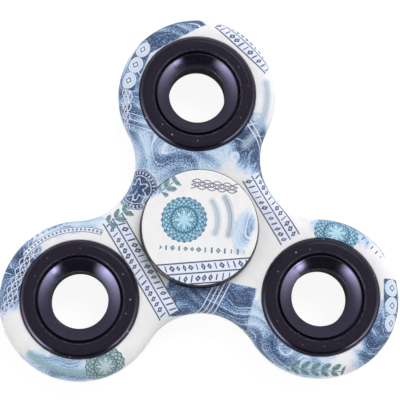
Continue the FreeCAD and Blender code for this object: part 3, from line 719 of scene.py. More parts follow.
def engrave(tree, at, clouds):
    """Join clouds of engraving into one cover and one ink. The lists of clouds say how a line reads."""
    ragged = add(tree, NOISE, {"Vector": at, "Scale": 0.3, "Detail": 3.0, "Roughness": 0.6})
    ragged = add(tree, RANGE, [ragged, 0.25, 0.75, -0.4, 0.4])
    cover, tone = 0.0, 0.0
    for x, y, angle, half_length, half_width, softness, darkness, kind in clouds:
        local = own_place(tree, at, x, y, angle, half_length, half_width)
        if kind == "round":
            reach = add(tree, VECTOR_MATH, [local], operation="LENGTH")
        else:
            sides = add(tree, SPLIT, [add(tree, VECTOR_MATH, [local], operation="ABSOLUTE")]).outputs
            reach = add(tree, "MAXIMUM", [sides["X"], sides["Y"]])
        if softness > RAGGED_FROM:
            reach = add(tree, "MULTIPLY_ADD", [ragged, softness, reach])
        inside = add(tree, RANGE, [reach, 1.0, 1.0 - softness], interpolation_type="SMOOTHSTEP")
        depth = add(tree, "MULTIPLY", [inside, darkness])
        cover = add(tree, "MAXIMUM", [inside, cover])
        tone = add(tree, "MAXIMUM", [depth, tone])
    tone = add(tree, "MULTIPLY_ADD", [ragged, 0.6, tone])
    ink = add(tree, "ShaderNodeGroup", {"At": at, "Tone": tone}, node_tree=engraved_ink)
    return add(tree, RANGE, [cover, 0.0, 0.32]), ink


def stamp(tree, at, ground, motifs):
    """Lay motifs over a ground colour, one after the other: what, where, turned how far, and its sizes."""
    for motif, x, y, angle, sizes in motifs:
        local = own_place(tree, at, x, y, angle)
        laid = add(tree, "ShaderNodeGroup", {"At": local, **sizes}, node_tree=motif).outputs
        ground = add(tree, MIX, {0: laid["Cover"], 6: ground, 7: laid["Ink"]}, data_type="RGBA")
    return ground


# %% [markdown]
# The body's design, in millimetres from the spin axis with arm 1 upwards. Only the strips round the
# weights, the waists and the ring round the cap show, so each motif is placed to cross one of them. Clouds
# come first. Read a line as: x, y, turn in degrees, half length, half width, how soft its edge is, how dark
# it is, and its shape.

# %% The body's clouds
body_clouds = [
    (-3.5, 21.0, 0, 15.5, 14.5, 0.5, 0.26, "round"),
    (15.0, -21.0, -30, 12.0, 7.5, 0.5, 0.26, "round"),
    (11.0, 15.5, -50, 10.5, 5.6, 0.6, 0.95, "round"),
    (-13.5, 24.0, 5, 5.4, 12.5, 0.7, 0.7, "round"),
    (-4.0, 13.2, 10, 10.5, 4.6, 0.8, 0.62, "round"),
    (-5.0, 38.6, 28, 6.5, 2.8, 0.1, 0.72, "square"),
    (-34.0, -8.0, 62, 10.5, 5.2, 0.6, 0.85, "round"),
    (-26.5, -26.0, -12, 10.0, 4.4, 0.8, 0.42, "round"),
    (-24.0, 1.5, 8, 8.0, 2.8, 0.8, 0.3, "round"),
    (1.5, -13.5, -14, 8.4, 4.6, 0.1, 0.74, "square"),
    (34.0, -20.0, 58, 10.5, 5.0, 0.6, 0.88, "round"),
    (27.0, -0.2, -15, 8.0, 3.4, 0.8, 0.3, "round"),
    (12.5, -22.5, -35, 8.5, 5.0, 0.7, 0.7, "round"),
]
print(len(body_clouds), "clouds of engraving on the body")

# %% [markdown]
# Then come the motifs, each over the ones before. Read a line as: what, x, y, turn in degrees, and sizes.

# %% The body's motifs
TEALS = {"Light": PALE_TEAL, "Deep": DEEP_TEAL}
SAGES = {"Light": linear("b9cfd2"), "Deep": DEEP_SAGE}
body_motifs = [
    (braid, -13.8, 22.0, 82, {"Half Length": 7.0, "Half Width": 1.1, "Tint": LAVENDER_WHITE}),
    (braid, -33.0, -8.2, 66, {"Half Length": 9.0, "Half Width": 1.3, "Tint": LAVENDER_WHITE}),
    (soft_arc, 0.0, 25.7, -20, {"Radius": 13.2, "Half Angle": 0.5, "Half Width": 1.2, "Tint": GREY_BLUE}),
    (soft_arc, -22.3, -12.9, -108, {"Radius": 13.4, "Half Angle": 0.42, "Half Width": 1.1, "Tint": SAGE}),
    (rosette, 25.5, -1.0, 0, {"Radius": 4.2, "Petals": 12.0, **TEALS}),
    (rosette, -17.5, -25.2, 0, {"Radius": 3.8, "Petals": 9.0, **SAGES}),
    (medallion, -11.6, 7.6, 20, {"Radius": 3.9}),
    (cell_chain, -11.6, 31.4, 66, {"Half Length": 5.0}),
    (cell_chain, 35.6, -14.6, 88, {"Half Length": 5.0}),
    (ribbon, -10.9, -6.9, 120, {"Half Length": 10.5, "Seed": 3.0}),
    (ribbon, 9.6, 35.6, -44, {"Half Length": 6.6, "Seed": 8.0}),
    (ribbon, 13.4, 3.9, -60, {"Half Length": 7.0, "Seed": 17.0}),
    (leaf_spray, 21.0, -26.3, -6, {"Half Length": 5.5}),
    (leaf_spray, -14.9, 2.6, 35, {"Half Length": 2.4}),
    (beads, 24.0, -9.0, 60, {"Radius": 11.8, "Half Angle": 0.7}),
    (beads, -22.3, -12.9, 105, {"Radius": 13.1, "Half Angle": 0.6}),
    (twin_lines, 12.2, 16.0, -57, {"Half Length": 6.0}),
    (twin_lines, 1.0, -14.2, 62, {"Half Length": 4.6}),
    (twin_lines, 3.6, -12.8, 62, {"Half Length": 4.6}),
    (soft_arc, 1.0, 12.6, 90, {"Radius": 4.4, "Half Angle": 0.9, "Half Width": 0.5, "Tint": PALE_BLUE}),
    (mark_row, -28.6, 0.4, 26, {"Half Length": 4.6, "Seed": 5.0}),
    (mark_row, 31.8, -3.2, -48, {"Half Length": 3.0, "Seed": 21.0}),
    (braid, 5.8, -20.6, 14, {"Half Length": 3.4, "Half Width": 0.9, "Tint": STROKE_BLUE}),
]
print(len(body_motifs), "motifs on the body")

# %% [markdown]
# The caps carry their own small design: a teal rosette with two soft ripples beside it, a braid, a spray of
# leaves, a row of marks and a ribbon.

# %% The caps' design
DUSK_BLUE = linear("8fa5ba")
cap_clouds = [
    (-7.5, 8.0, 40, 4.6, 2.4, 0.8, 0.35, "round"),
    (8.0, -1.0, 75, 5.0, 2.4, 0.8, 0.3, "round"),
]
cap_motifs = [
    (soft_arc, -2.9, 1.4, 4, {"Radius": 6.2, "Half Angle": 0.5, "Half Width": 0.9, "Tint": GREY_BLUE}),
    (soft_arc, -2.9, 1.4, 4, {"Radius": 8.6, "Half Angle": 0.42, "Half Width": 0.9, "Tint": DUSK_BLUE}),
    (rosette, -2.9, 1.4, 0, {"Radius": 4.3, "Petals": 12.0, **TEALS}),
    (mark_row, 0.3, -4.2, -4, {"Half Length": 7.8, "Seed": 14.0}),
    (ribbon, 0.0, -8.4, 4, {"Half Length": 12.0, "Seed": 30.0}),
    (braid, 2.8, 7.6, -8, {"Half Length": 4.3, "Half Width": 0.9, "Tint": STROKE_BLUE}),
    (leaf_spray, -5.6, 7.8, 35, {"Half Length": 1.9}),
]
print(len(cap_clouds), "clouds and", len(cap_motifs), "motifs on each cap")

# %% [markdown]
# ## Printed plastic
# The body is ABS, injection moulded in ivory, printed, and sprayed with a satin clear coat. The caps are
# printed and coated the same way. That gives the eye a soft, even sheen with hardly any texture of its own,
# ink that sits in the surface, and print that thins out to almost bare ivory at the parting line, where the
# film hardly reaches from either side. The ink wraps over the rounded edge without stretching. Laid
# straight down it would run into streaks there, so the body carries an attribute, made with it further on,
# that tells each point its place on the unrolled film.

# %% Helpers for printed plastic
ABS_IOR = 1.52


def start_material(name):
    """Start a material. Returns it, its tree and its shader node."""
    material = bpy.data.materials.new(name)
    material.use_nodes = True
    return material, material.node_tree, material.node_tree.nodes["Principled BSDF"]


def print_place(tree, above):
    """Where the print lies, in millimetres, and how far off the middle plane.

    The back carries the front's design, mirrored and a third of a turn on."""
    above = add(tree, VECTOR_MATH, {0: above, "Scale": 1 / MM}, operation="SCALE")
    ways = add(tree, SPLIT, [above]).outputs
    front = add(tree, "SIGN", [ways["Z"]])
    mirrored = add(tree, "MULTIPLY", [ways["X"], front])
    at = add(tree, JOIN, [mirrored, ways["Y"]])
    turn = add(tree, RANGE, [front, -1.0, 1.0, math.tau / 3, 0.0])
    at = add(tree, "ShaderNodeVectorRotate", {"Vector": at, "Angle": turn}, rotation_type="Z_AXIS")
    return at, add(tree, "ABSOLUTE", [ways["Z"]])


def printed(tree, at, clouds, motifs):
    """The whole design as one colour, on an ivory ground that is faintly mottled."""
    mottle = soft_patches(tree, at, 0.35, 3.0, 0.35, 0.65)
    ground = add(tree, MIX, {0: mottle, 6: IVORY, 7: linear("ebebeb")}, data_type="RGBA")
    cover, ink = engrave(tree, at, clouds)
    ground = add(tree, MIX, {0: cover, 6: ground, 7: ink}, data_type="RGBA")
    return stamp(tree, at, ground, motifs)


def clear_coat(tree, shader, at, colour):
    """Give a shader its colour under a satin clear coat, which dries in faint ripples of about 1 mm."""
    ripple = add(tree, NOISE, {"Vector": at, "Scale": 0.8, "Detail": 2.0})
    satin = add(tree, RANGE, [ripple, 0.3, 0.7, 0.52, 0.6])
    peel = add(tree, "ShaderNodeBump", {"Height": ripple, "Strength": 0.05, "Distance": 0.02 * MM})
    fill(tree, shader, {"Base Color": colour, "Roughness": satin, "IOR": ABS_IOR, "Normal": peel})


# %% The printed body
BARE_BELOW, FULL_ABOVE = 0.1, 0.9               # in mm off the parting line
THINNEST_INK = 0.25
printed_abs, tree, shader = start_material("printed_abs_satin_clear_coat")
film = add(tree, "ShaderNodeAttribute", attribute_name="print_place").outputs["Vector"]
at, height = print_place(tree, film)
design = printed(tree, at, body_clouds, body_motifs)
reached = add(tree, RANGE, [height, BARE_BELOW, FULL_ABOVE, THINNEST_INK, 1.0],
              interpolation_type="SMOOTHSTEP")
colour = add(tree, MIX, {0: reached, 6: IVORY, 7: design}, data_type="RGBA")
clear_coat(tree, shader, at, colour)
print(printed_abs.name, "has", len(tree.nodes), "nodes")

# %% [markdown]
# The caps are the same plastic in black, printed on the outer face only: white first, then the design. Seen
# from above they are ivory discs. The print ends 0.08 mm below the face, where the edge rounds off, and the
# black below it draws a thin dark line round each disc.

# %% The printed caps
PRINT_DEPTH = 0.08 * MM
printed_cap, tree, shader = start_material("printed_abs_black_cap")
place = add(tree, "ShaderNodeTexCoord").outputs["Object"]
above = add(tree, VECTOR_MATH, [place, (0, 0, MIDDLE)], operation="SUBTRACT")
at, height = print_place(tree, above)
design = printed(tree, at, cap_clouds, cap_motifs)
on_face = add(tree, "GREATER_THAN", [height, (CAP_FACE - PRINT_DEPTH) / MM])
colour = add(tree, MIX, {0: on_face, 6: linear("1d1b22"), 7: design}, data_type="RGBA")
clear_coat(tree, shader, at, colour)
print(printed_cap.name, "has", len(tree.nodes), "nodes")

# %% [markdown]
# ## Black coats
# The weights are steel, turned on a lathe and given a satin black coat. The coat gives the eye a deep,
# slightly violet black with soft reflections. The turning lines under it show as faint rings, and dust
# shows on it as a few light specks. A thin lighter line round the crisp mouth is partly wear, where the
# coat is rubbed a little thin, and partly a painted highlight of the bright line that edge catches. Real
# turning lines lie about 0.1 mm apart. They are drawn 0.45 mm apart, or they wouldn't show at all. Each
# turned piece carries an attribute, made with it further on, that tells each point its place from its own
# lathe axis. The lines need it, because each arm's rings run round that arm's middle.

# %% Helpers for black coats
TURNING_LINES = 0.45
COAT_TINT = linear("e2d8ff")


def turned_place(tree):
    """Where a point lies from its own lathe axis, in millimetres."""
    place = add(tree, "ShaderNodeAttribute", attribute_name="from_axis").outputs["Vector"]
    return add(tree, VECTOR_MATH, {0: place, "Scale": 1 / MM}, operation="SCALE")


def axis_distance(tree, place):
    """How far a place is from the upright axis through its origin."""
    level = add(tree, VECTOR_MATH, [place, (1, 1, 0)], operation="MULTIPLY")
    return add(tree, VECTOR_MATH, [level], operation="LENGTH")


def turning_lines(tree, radius, spacing):
    """Fine rings round the axis, uneven in strength as a real cut is."""
    uneven = add(tree, NOISE, {"W": add(tree, "MULTIPLY", [radius, 2.1])}, noise_dimensions="1D")
    return add(tree, "MULTIPLY", [wave(tree, radius, spacing), uneven])


def start_black_coat(name, smooth, dull, specular):
    """Start a black coat: its colour is faintly mottled, and its roughness runs from smooth to dull."""
    material, tree, shader = start_material(name)
    place = turned_place(tree)
    mottle = soft_patches(tree, place, 0.9, 3.0, 0.3, 0.7)
    colour = add(tree, MIX, {0: mottle, 6: linear("0b0912"), 7: linear("110d19")}, data_type="RGBA")
    rough = add(tree, RANGE, [mottle, 0.0, 1.0, smooth, dull])
    fill(tree, shader, {"Base Color": colour, "Roughness": rough, "Specular IOR Level": specular,
                        "Specular Tint": COAT_TINT})
    return material, tree, shader, place, colour


# %% Satin black coat on turned steel
HALF_MOUTH_LINE = 0.07                                # half the width of the mouth's lighter line, worn and painted highlight, in mm
DUST_PER_MM = 0.62                              # the dust's cells are 1.6 mm wide
CLEAN_CELLS, LARGEST_SPECK = 0.62, 0.075        # the share without a speck, and a speck's radius in cells
satin_coat, tree, shader, place, colour = start_black_coat(
    "satin_black_coat_on_turned_steel", smooth=0.46, dull=0.54, specular=0.5)
radius = axis_distance(tree, place)
# painted highlight: the lighter ring at the mouth is partly wear and partly a painted highlight of that
# edge
mouth_wear_and_highlight = add(tree, "COMPARE", [radius, flat_edges[0] / MM, HALF_MOUTH_LINE])
mouth_wear_and_highlight = add(tree, "MULTIPLY", [mouth_wear_and_highlight, soft_patches(tree, place, 2.2, 2.0, 0.4, 0.65)])
colour = add(tree, MIX, {0: mouth_wear_and_highlight, 6: colour, 7: linear("4d4a55")}, data_type="RGBA")
dust = add(tree, "ShaderNodeTexVoronoi", {"Vector": place, "Scale": DUST_PER_MM}, voronoi_dimensions="2D")
chance = add(tree, SPLIT, [dust.outputs["Color"]]).outputs
speck_size = add(tree, RANGE, [chance["X"], CLEAN_CELLS, 1.0, 0.0, LARGEST_SPECK])
speck = add(tree, "LESS_THAN", [dust.outputs["Distance"], speck_size])
speck_colour = add(tree, MIX, {0: chance["Y"], 6: linear("b4b2bd"), 7: linear("8a5d6a")}, data_type="RGBA")
colour = add(tree, MIX, {0: speck, 6: colour, 7: speck_colour}, data_type="RGBA")
cut = add(tree, "ShaderNodeBump", {
    "Height": turning_lines(tree, radius, TURNING_LINES), "Strength": 0.25, "Distance": 0.004 * MM})
fill(tree, shader, {"Base Color": colour, "Normal": cut})
print(satin_coat.name, "has rings every", TURNING_LINES, "mm")

# %% [markdown]
# Fingers rub the rounding outside the ring's flat face, and the coat there has gone from satin to glossy,
# so the upper part of the rounding catches small sharp highlights. The last 0.4 mm, down by the plate, is
# out of reach and still satin. So the rounding gets a second finish, and the lathe further on puts it on
# that band alone. Its roughness and specular level have no textbook value: both were matched to how sharp
# and bright the highlights on the real rounding are.

# %% Rubbed black coat on the rounding
rubbed_coat, tree, shader, place, colour = start_black_coat(
    "rubbed_black_coat_on_turned_steel", smooth=0.13, dull=0.2, specular=0.85)
print(rubbed_coat.name, "has", len(tree.nodes), "nodes")

# %% [markdown]
# The funnels are aluminium, polished and then anodised black. The anodised layer is a clear, hard oxide
# with a dye in it, with an IOR of 1.77. The bright metal under it reflects too, so the specular level may
# stand above the usual 0.5, and its value was then matched to the gloss of the real piece. It gives a wet
# black gloss with a violet cast. Polishing leaves short faint streaks down the slope, and the tool leaves
# rings.

# %% Black anodised aluminium, polished
OXIDE_IOR = 1.77
STREAKS = 9.0                                   # squeezes the noise round the axis, to 7-degree streaks
black_anodised, tree, shader = start_material("black_anodised_aluminium_polished")
place = turned_place(tree)
radius = axis_distance(tree, place)
ways = add(tree, SPLIT, [place]).outputs
round_axis = add(tree, "ARCTAN2", [ways["Y"], ways["X"]])
along_streak = add(tree, JOIN, [add(tree, "MULTIPLY", [round_axis, STREAKS]), radius])
streaks = soft_patches(tree, along_streak, 0.9, 3.0, 0.3, 0.7)
colour = add(tree, MIX, {0: streaks, 6: linear("0d0b13"), 7: linear("15121c")}, data_type="RGBA")
polish = add(tree, RANGE, [streaks, 0.0, 1.0, 0.1, 0.2])
cut = add(tree, "ShaderNodeBump", {
    "Height": turning_lines(tree, radius, TURNING_LINES), "Strength": 0.2, "Distance": 0.003 * MM})
fill(tree, shader, {"Base Color": colour, "Roughness": polish, "IOR": OXIDE_IOR, "Specular IOR Level": 0.82,
                    "Specular Tint": linear("d4d1ff"), "Normal": cut})
print(black_anodised.name, "has", len(tree.nodes), "nodes")

# %% [markdown]
# The bore behind each funnel's throat isn't polished. Its matt black takes up the light that glances off
# the table, so the wall that shows through the hole stays dark.

# %% Unpolished bore
matt_bore, tree, shader = start_material("black_anodised_aluminium_unpolished")
grain = add(tree, NOISE, {"Vector": turned_place(tree), "Scale": 3.0, "Detail": 3.0})
colour = add(tree, MIX, {0: grain, 6: linear("08070b"), 7: linear("15131a")}, data_type="RGBA")
matt = add(tree, RANGE, [grain, 0.3, 0.7, 0.75, 0.9])
pits = add(tree, "ShaderNodeBump", {"Height": grain, "Strength": 0.5, "Distance": 0.02 * MM})
fill(tree, shader, {"Base Color": colour, "Roughness": matt, "Specular IOR Level": 0.08, "Normal": pits})
print(matt_bore.name, "has", len(tree.nodes), "nodes")

# %% [markdown]
# ## Steels
# The bearing hides behind its shields and the caps, and only its edges show, through the narrow gap under
# each cap. It is still finished piece by piece. The races are ground, which leaves fine rings round the
# axis. The balls are lapped until they mirror. The cage is pressed from strip and tumbled, so it is dull
# and mottled, and the shields are pressed too, with fine circular brushing.

# %% Steel finishes
def steel(name, dark, light, smooth, dull, ring_spacing, depth):
    """A steel with a mottled tone and, given a ring spacing, rings round the hub. Sizes are in mm."""
    material, tree, shader = start_material(name)
    place = add(tree, "ShaderNodeTexCoord").outputs["Object"]
    place = add(tree, VECTOR_MATH, {0: place, "Scale": 1 / MM}, operation="SCALE")
    mottle = soft_patches(tree, place, 1.3, 4.0, 0.3, 0.7)
    colour = add(tree, MIX, {0: mottle, 6: linear(dark), 7: linear(light)}, data_type="RGBA")
    height = turning_lines(tree, axis_distance(tree, place), ring_spacing) if ring_spacing else mottle
    bump = add(tree, "ShaderNodeBump", {"Height": height, "Strength": 0.4, "Distance": depth * MM})
    rough = add(tree, RANGE, [mottle, 0.0, 1.0, smooth, dull])
    fill(tree, shader, {"Base Color": colour, "Roughness": rough, "Metallic": 1.0, "Normal": bump})
    return material


ground_steel = steel("ground_bearing_steel", "b4b4b8", "cfcfd2", 0.14, 0.24, 0.2, 0.003)
lapped_steel = steel("lapped_ball_steel", "c9c9cc", "d6d6d9", 0.05, 0.09, None, 0.001)
tumbled_strip = steel("tumbled_steel_strip", "8f8a84", "b3aea7", 0.32, 0.5, None, 0.02)
brushed_shield = steel("circular_brushed_steel_sheet", "9c9ca0", "bdbdc1", 0.26, 0.36, 0.3, 0.006)
print("steels:", ", ".join(m.name for m in (ground_steel, lapped_steel, tumbled_strip, brushed_shield)))

# %% [markdown]
# ## Growing pieces with Geometry Nodes
# The body, the weights and the funnels all follow simple rules: an outline that repeats three times round
# the hub, and profiles turned on a lathe. Geometry Nodes state such rules directly, and every size stays a
# named input. A tree can't hold a drawn profile, so each piece starts as a small mesh of points joined by
# edges: the profile, with a number on every point that says how far its corner is rounded.

# %% From a profile and a tree to a plain mesh
def profile_mesh(name, points, closed):
    """A profile of (radius, height, rounding) points as a mesh of edges with a 'round' attribute."""
    mesh = bpy.data.meshes.new(name)
    edges = [(i, i + 1) for i in range(len(points) - 1)] + ([(len(points) - 1, 0)] if closed else [])
    mesh.from_pydata([(radius, height, 0) for radius, height, rounding in points], edges, [])
    rounding = mesh.attributes.new("round", "FLOAT", "POINT")
    rounding.data.foreach_set("value", [point[2] for point in points])
    return mesh


def grow(name, tree, start, sizes):
    """Run a tree over a start mesh, and keep the result as a plain mesh without a modifier."""
    piece = bpy.data.objects.new(name, start)
    scene.collection.objects.link(piece)
    modifier = piece.modifiers.new("build", "NODES")
    modifier.node_group = tree
    for item in tree.interface.items_tree:
        if item.in_out == "INPUT" and item.name in sizes:
            modifier[item.identifier] = sizes[item.name]
    grown = bpy.data.meshes.new_from_object(piece.evaluated_get(bpy.context.evaluated_depsgraph_get()))
    grown.name = name
    piece.modifiers.clear()
    piece.data = grown
    check = bmesh.new()
    check.from_mesh(grown)
    loose = sum(not edge.is_manifold or not edge.is_contiguous for edge in check.edges)
    volume = check.calc_volume(signed=True) / MM ** 3
    check.free()
    print("%s: %d faces, %d open or twisted edges, %.0f mm3" % (name, len(grown.polygons), loose, volume))
    return piece


# %% [markdown]
# The trees share a few steps: moving a part, copying it to the three arms, rounding a profile's corners,
# and the finish. A piece looks smooth where its faces meet at a gentle angle, and keeps a crisp edge
# elsewhere.

# %% Helpers for the trees
TRANSFORM = "GeometryNodeTransform"
JOIN_PARTS = "GeometryNodeJoinGeometry"
FLIP = "GeometryNodeFlipFaces"
SWEEP = "GeometryNodeCurveToMesh"
SET_MATERIAL = "GeometryNodeSetMaterial"
CRISP_ANGLE = math.radians(30)


def minus(tree, value):
    """A value with its sign changed."""
    return add(tree, "MULTIPLY", [value, -1.0])


def moved(tree, geometry, **way):
    """A geometry moved along X, Y or Z."""
    return add(tree, TRANSFORM, {"Geometry": geometry, "Translation": add(tree, JOIN, way)})


def round_the_hub(tree, geometry):
    """Copy a geometry to the three arms."""
    turn = add(tree, "MULTIPLY", [add(tree, "GeometryNodeInputIndex"), math.tau / 3])
    copies = add(tree, "GeometryNodeInstanceOnPoints", {
        "Points": add(tree, "GeometryNodePoints", {"Count": 3}), "Instance": geometry,
        "Rotation": add(tree, JOIN, {"Z": turn})})
    return add(tree, "GeometryNodeRealizeInstances", [copies])


def rounded(tree, profile):
    """Turn a profile mesh into a curve and round each corner by its own radius."""
    curve = add(tree, "GeometryNodeMeshToCurve", [profile])
    radius = add(tree, "GeometryNodeInputNamedAttribute", {"Name": "round"}, data_type="FLOAT")
    steps = add(tree, RANGE, [radius, 0.0, 1.0 * MM, 2.0, 10.0])
    corners = {"Curve": curve, "Count": steps, "Radius": radius}
    return add(tree, "GeometryNodeFilletCurve", corners, mode="POLY")


def finished(tree, geometry, given):
    """Lift a piece to the middle plane, shade it smooth except at crisp edges, and give it its finish."""
    lifted = add(tree, TRANSFORM, {"Geometry": geometry, "Translation": given["Middle"]})
    gentle = add(tree, "LESS_THAN", [add(tree, "GeometryNodeInputMeshEdgeAngle"), CRISP_ANGLE])
    smooth = {"Geometry": lifted, "Shade Smooth": gentle}
    smooth = add(tree, "GeometryNodeSetShadeSmooth", smooth, domain="EDGE")
    return add(tree, SET_MATERIAL, {"Geometry": smooth, "Material": given["Finish"]})


# %% [markdown]
# ## The moulded body
# The real plate comes out of a two-part mould. Its outline is three round lobes joined by three hollow
# waists, each arc running into the next without a corner. Both long edges are well rounded, so that it
# feels soft as it spins, and a faint line at mid-height shows where the halves of the mould met. It could
# be cut from a cylinder with Booleans, but those leave rough edges. Here one lobe arc and one waist arc are
# drawn, copied round the hub and welded into a loop. The edge profile is swept along that loop, the flat
# faces are filled up to it, and four seats for the bearing and the weights are lined with short tubes.

# %% Measure the body
body_points = [v.co for v in nodes["spinner_body"].data.vertices]
half_band = min(abs(p.z - MIDDLE) for p in body_points)
WAIST = min(math.hypot(p.x, p.y) for p in body_points if abs(p.z - MIDDLE) < half_band + 0.01 * MM)
EDGE_ROUND = BODY_FACE - half_band
SEAT_MOUTH = radii_at("spinner_body", Vector((0, 0, MIDDLE)), body_high.z)[0]
SEAT_RADIUS = min(math.hypot(p.x, p.y) for p in body_points)
run, rise = PITCH * math.cos(math.pi / 6), WAIST - PITCH / 2
waist_radius = (run ** 2 + rise ** 2 - LOBE_RADIUS ** 2) / (2 * (LOBE_RADIUS - rise))
waist_centre = WAIST + waist_radius
lean = math.atan2(PITCH - waist_centre / 2, waist_centre * math.cos(math.pi / 6))
print("waist %.2f mm from the axis, hollow radius %.2f mm, edge rounded %.2f mm, seats %.2f mm"
      % (WAIST / MM, waist_radius / MM, EDGE_ROUND / MM, SEAT_RADIUS / MM))

# %% The body's tree: outline
LOBE_POINTS, WAIST_POINTS = 97, 41
OUTLINE_WELD = 0.001 * MM
tree, given, made = start_tree("moulded_body", "Geometry", {
    "Profile": "Geometry", "Middle": "Vector", "Arm Pitch": "Float", "Lobe Radius": "Float",
    "Waist Radius": "Float", "Waist Centre": "Float", "Lean": "Float", "Thickness": "Float",
    "Edge Round": "Float", "Seat Radius": "Float", "Seat Chamfer": "Float", "Finish": "Material"},
    {"Geometry": "Geometry"})
body_tree = tree
lobe = add(tree, "GeometryNodeCurveArc", {
    "Resolution": LOBE_POINTS, "Radius": given["Lobe Radius"], "Start Angle": minus(tree, given["Lean"]),
    "Sweep Angle": add(tree, "MULTIPLY_ADD", [given["Lean"], 2.0, math.pi])}, mode="RADIUS")
lobe = moved(tree, lobe, Y=given["Arm Pitch"])
waist = add(tree, "GeometryNodeCurveArc", {
    "Resolution": WAIST_POINTS, "Radius": given["Waist Radius"],
    "Start Angle": add(tree, "SUBTRACT", [math.pi, given["Lean"]]),
    "Sweep Angle": add(tree, "MULTIPLY_ADD", [given["Lean"], 2.0, math.pi / 3])}, mode="RADIUS")
between_arms = (math.cos(math.pi / 6), math.sin(math.pi / 6), 0)
to_waist = add(tree, VECTOR_MATH, {0: between_arms, "Scale": given["Waist Centre"]}, operation="SCALE")
waist = add(tree, TRANSFORM, {"Geometry": waist, "Translation": to_waist})
third = add(tree, JOIN_PARTS, [[lobe, waist]])
welded = add(tree, SWEEP, [round_the_hub(tree, third)])
welded = add(tree, "GeometryNodeMergeByDistance", {"Geometry": welded, "Distance": OUTLINE_WELD})
loop = add(tree, "GeometryNodeReverseCurve", [add(tree, "GeometryNodeMeshToCurve", [welded])])
loop = add(tree, "GeometryNodeSetCurveNormal", [loop], mode="Z_UP")
print("the outline has", 3 * (LOBE_POINTS + WAIST_POINTS - 2), "points")

# %% The body's tree: edge and faces
HOLE_POINTS = 128
rim = add(tree, SWEEP, {"Curve": loop, "Profile Curve": rounded(tree, given["Profile"])})
rim = add(tree, FLIP, [rim])
half = add(tree, "MULTIPLY", [given["Thickness"], 0.5])
inwards = {0: add(tree, "GeometryNodeInputNormal"), "Scale": minus(tree, given["Edge Round"])}
inwards = add(tree, VECTOR_MATH, inwards, operation="SCALE")
face_edge = add(tree, "GeometryNodeSetPosition", {"Geometry": loop, "Offset": inwards})
mouth = add(tree, "ADD", [given["Seat Radius"], given["Seat Chamfer"]])
hub_hole = add(tree, "GeometryNodeCurvePrimitiveCircle", {"Resolution": HOLE_POINTS, "Radius": mouth},
               mode="RADIUS")
arm_hole = moved(tree, hub_hole, Y=given["Arm Pitch"])
face = add(tree, JOIN_PARTS, [[face_edge, hub_hole, round_the_hub(tree, arm_hole)]])
face = add(tree, "GeometryNodeFillCurve", [face], mode="TRIANGLES")
front = moved(tree, face, Z=half)
back = add(tree, FLIP, [moved(tree, face, Z=minus(tree, half))])
print("the faces have holes of", HOLE_POINTS, "points")

# %% The body's tree: seats
SHELL_WELD = 0.002 * MM
shoulder = add(tree, "SUBTRACT", [half, given["Seat Chamfer"]])
wall = add(tree, "GeometryNodeMeshCone", {
    "Vertices": HOLE_POINTS, "Radius Top": given["Seat Radius"], "Radius Bottom": given["Seat Radius"],
    "Depth": add(tree, "MULTIPLY", [shoulder, 2.0])}, fill_type="NONE")
wall = moved(tree, wall, Z=minus(tree, shoulder))
chamfer = add(tree, "GeometryNodeMeshCone", {
    "Vertices": HOLE_POINTS, "Radius Top": mouth, "Radius Bottom": given["Seat Radius"],
    "Depth": given["Seat Chamfer"]}, fill_type="NONE")
chamfer = moved(tree, chamfer, Z=shoulder)
back_chamfer = add(tree, TRANSFORM, {"Geometry": chamfer, "Rotation": (math.pi, 0, 0)})
seat = add(tree, FLIP, [add(tree, JOIN_PARTS, [[wall, chamfer, back_chamfer]])])
arm_seats = round_the_hub(tree, moved(tree, seat, Y=given["Arm Pitch"]))
shell = add(tree, JOIN_PARTS, [[rim, front, back, seat, arm_seats]])
shell = add(tree, "GeometryNodeMergeByDistance", {"Geometry": shell, "Distance": SHELL_WELD})
print("the shell is welded at", SHELL_WELD / MM, "mm")

# %% [markdown]
# The film's own coordinates are stored on the points as the attribute print_place. On a rounding of radius
# r, a point whose normal leans by the angle a lies r * sin(a) past the flat, seen from above, but r * a
# along the film. So the place moves outwards by the difference.

# %% The body's tree: the film's coordinates
normal = add(tree, "GeometryNodeInputNormal")
level_normal = add(tree, VECTOR_MATH, [normal, (1, 1, 0)], operation="MULTIPLY")
outwards = add(tree, VECTOR_MATH, [level_normal], operation="NORMALIZE")
upright = add(tree, "ABSOLUTE", [add(tree, SPLIT, [normal]).outputs["Z"]])
tilt = add(tree, "ARCCOSINE", [upright])
slack = add(tree, "SUBTRACT", [tilt, add(tree, "SINE", [tilt])])
slack = add(tree, "MULTIPLY", [slack, given["Edge Round"]])
shift = add(tree, VECTOR_MATH, {0: outwards, "Scale": slack}, operation="SCALE")
film = add(tree, VECTOR_MATH, [add(tree, "GeometryNodeInputPosition"), shift], operation="ADD")
shell = {"Geometry": shell, "Name": "print_place", "Value": film}
shell = add(tree, "GeometryNodeStoreNamedAttribute", shell, data_type="FLOAT_VECTOR", domain="POINT")
fill(tree, made, {"Geometry": finished(tree, shell, given)})
print("the body's tree has", len(tree.nodes), "nodes")

# %% Grow the body
PARTING_DEPTH, PARTING_HALF = 0.04 * MM, 0.08 * MM
edge_profile = profile_mesh("edge_profile", [
    (-EDGE_ROUND, BODY_FACE, 0), (0, BODY_FACE, EDGE_ROUND), (0, PARTING_HALF, 0), (-PARTING_DEPTH, 0, 0),
    (0, -PARTING_HALF, 0), (0, -BODY_FACE, EDGE_ROUND), (-EDGE_ROUND, -BODY_FACE, 0)], closed=False)
printed_body = grow("printed_body", body_tree, edge_profile, {
    "Middle": (0, 0, MIDDLE), "Arm Pitch": PITCH, "Lobe Radius": LOBE_RADIUS, "Waist Radius": waist_radius,
    "Waist Centre": waist_centre, "Lean": lean, "Thickness": THICKNESS, "Edge Round": EDGE_ROUND,
    "Seat Radius": SEAT_RADIUS, "Seat Chamfer": (SEAT_MOUTH - SEAT_RADIUS) / 2, "Finish": printed_abs})

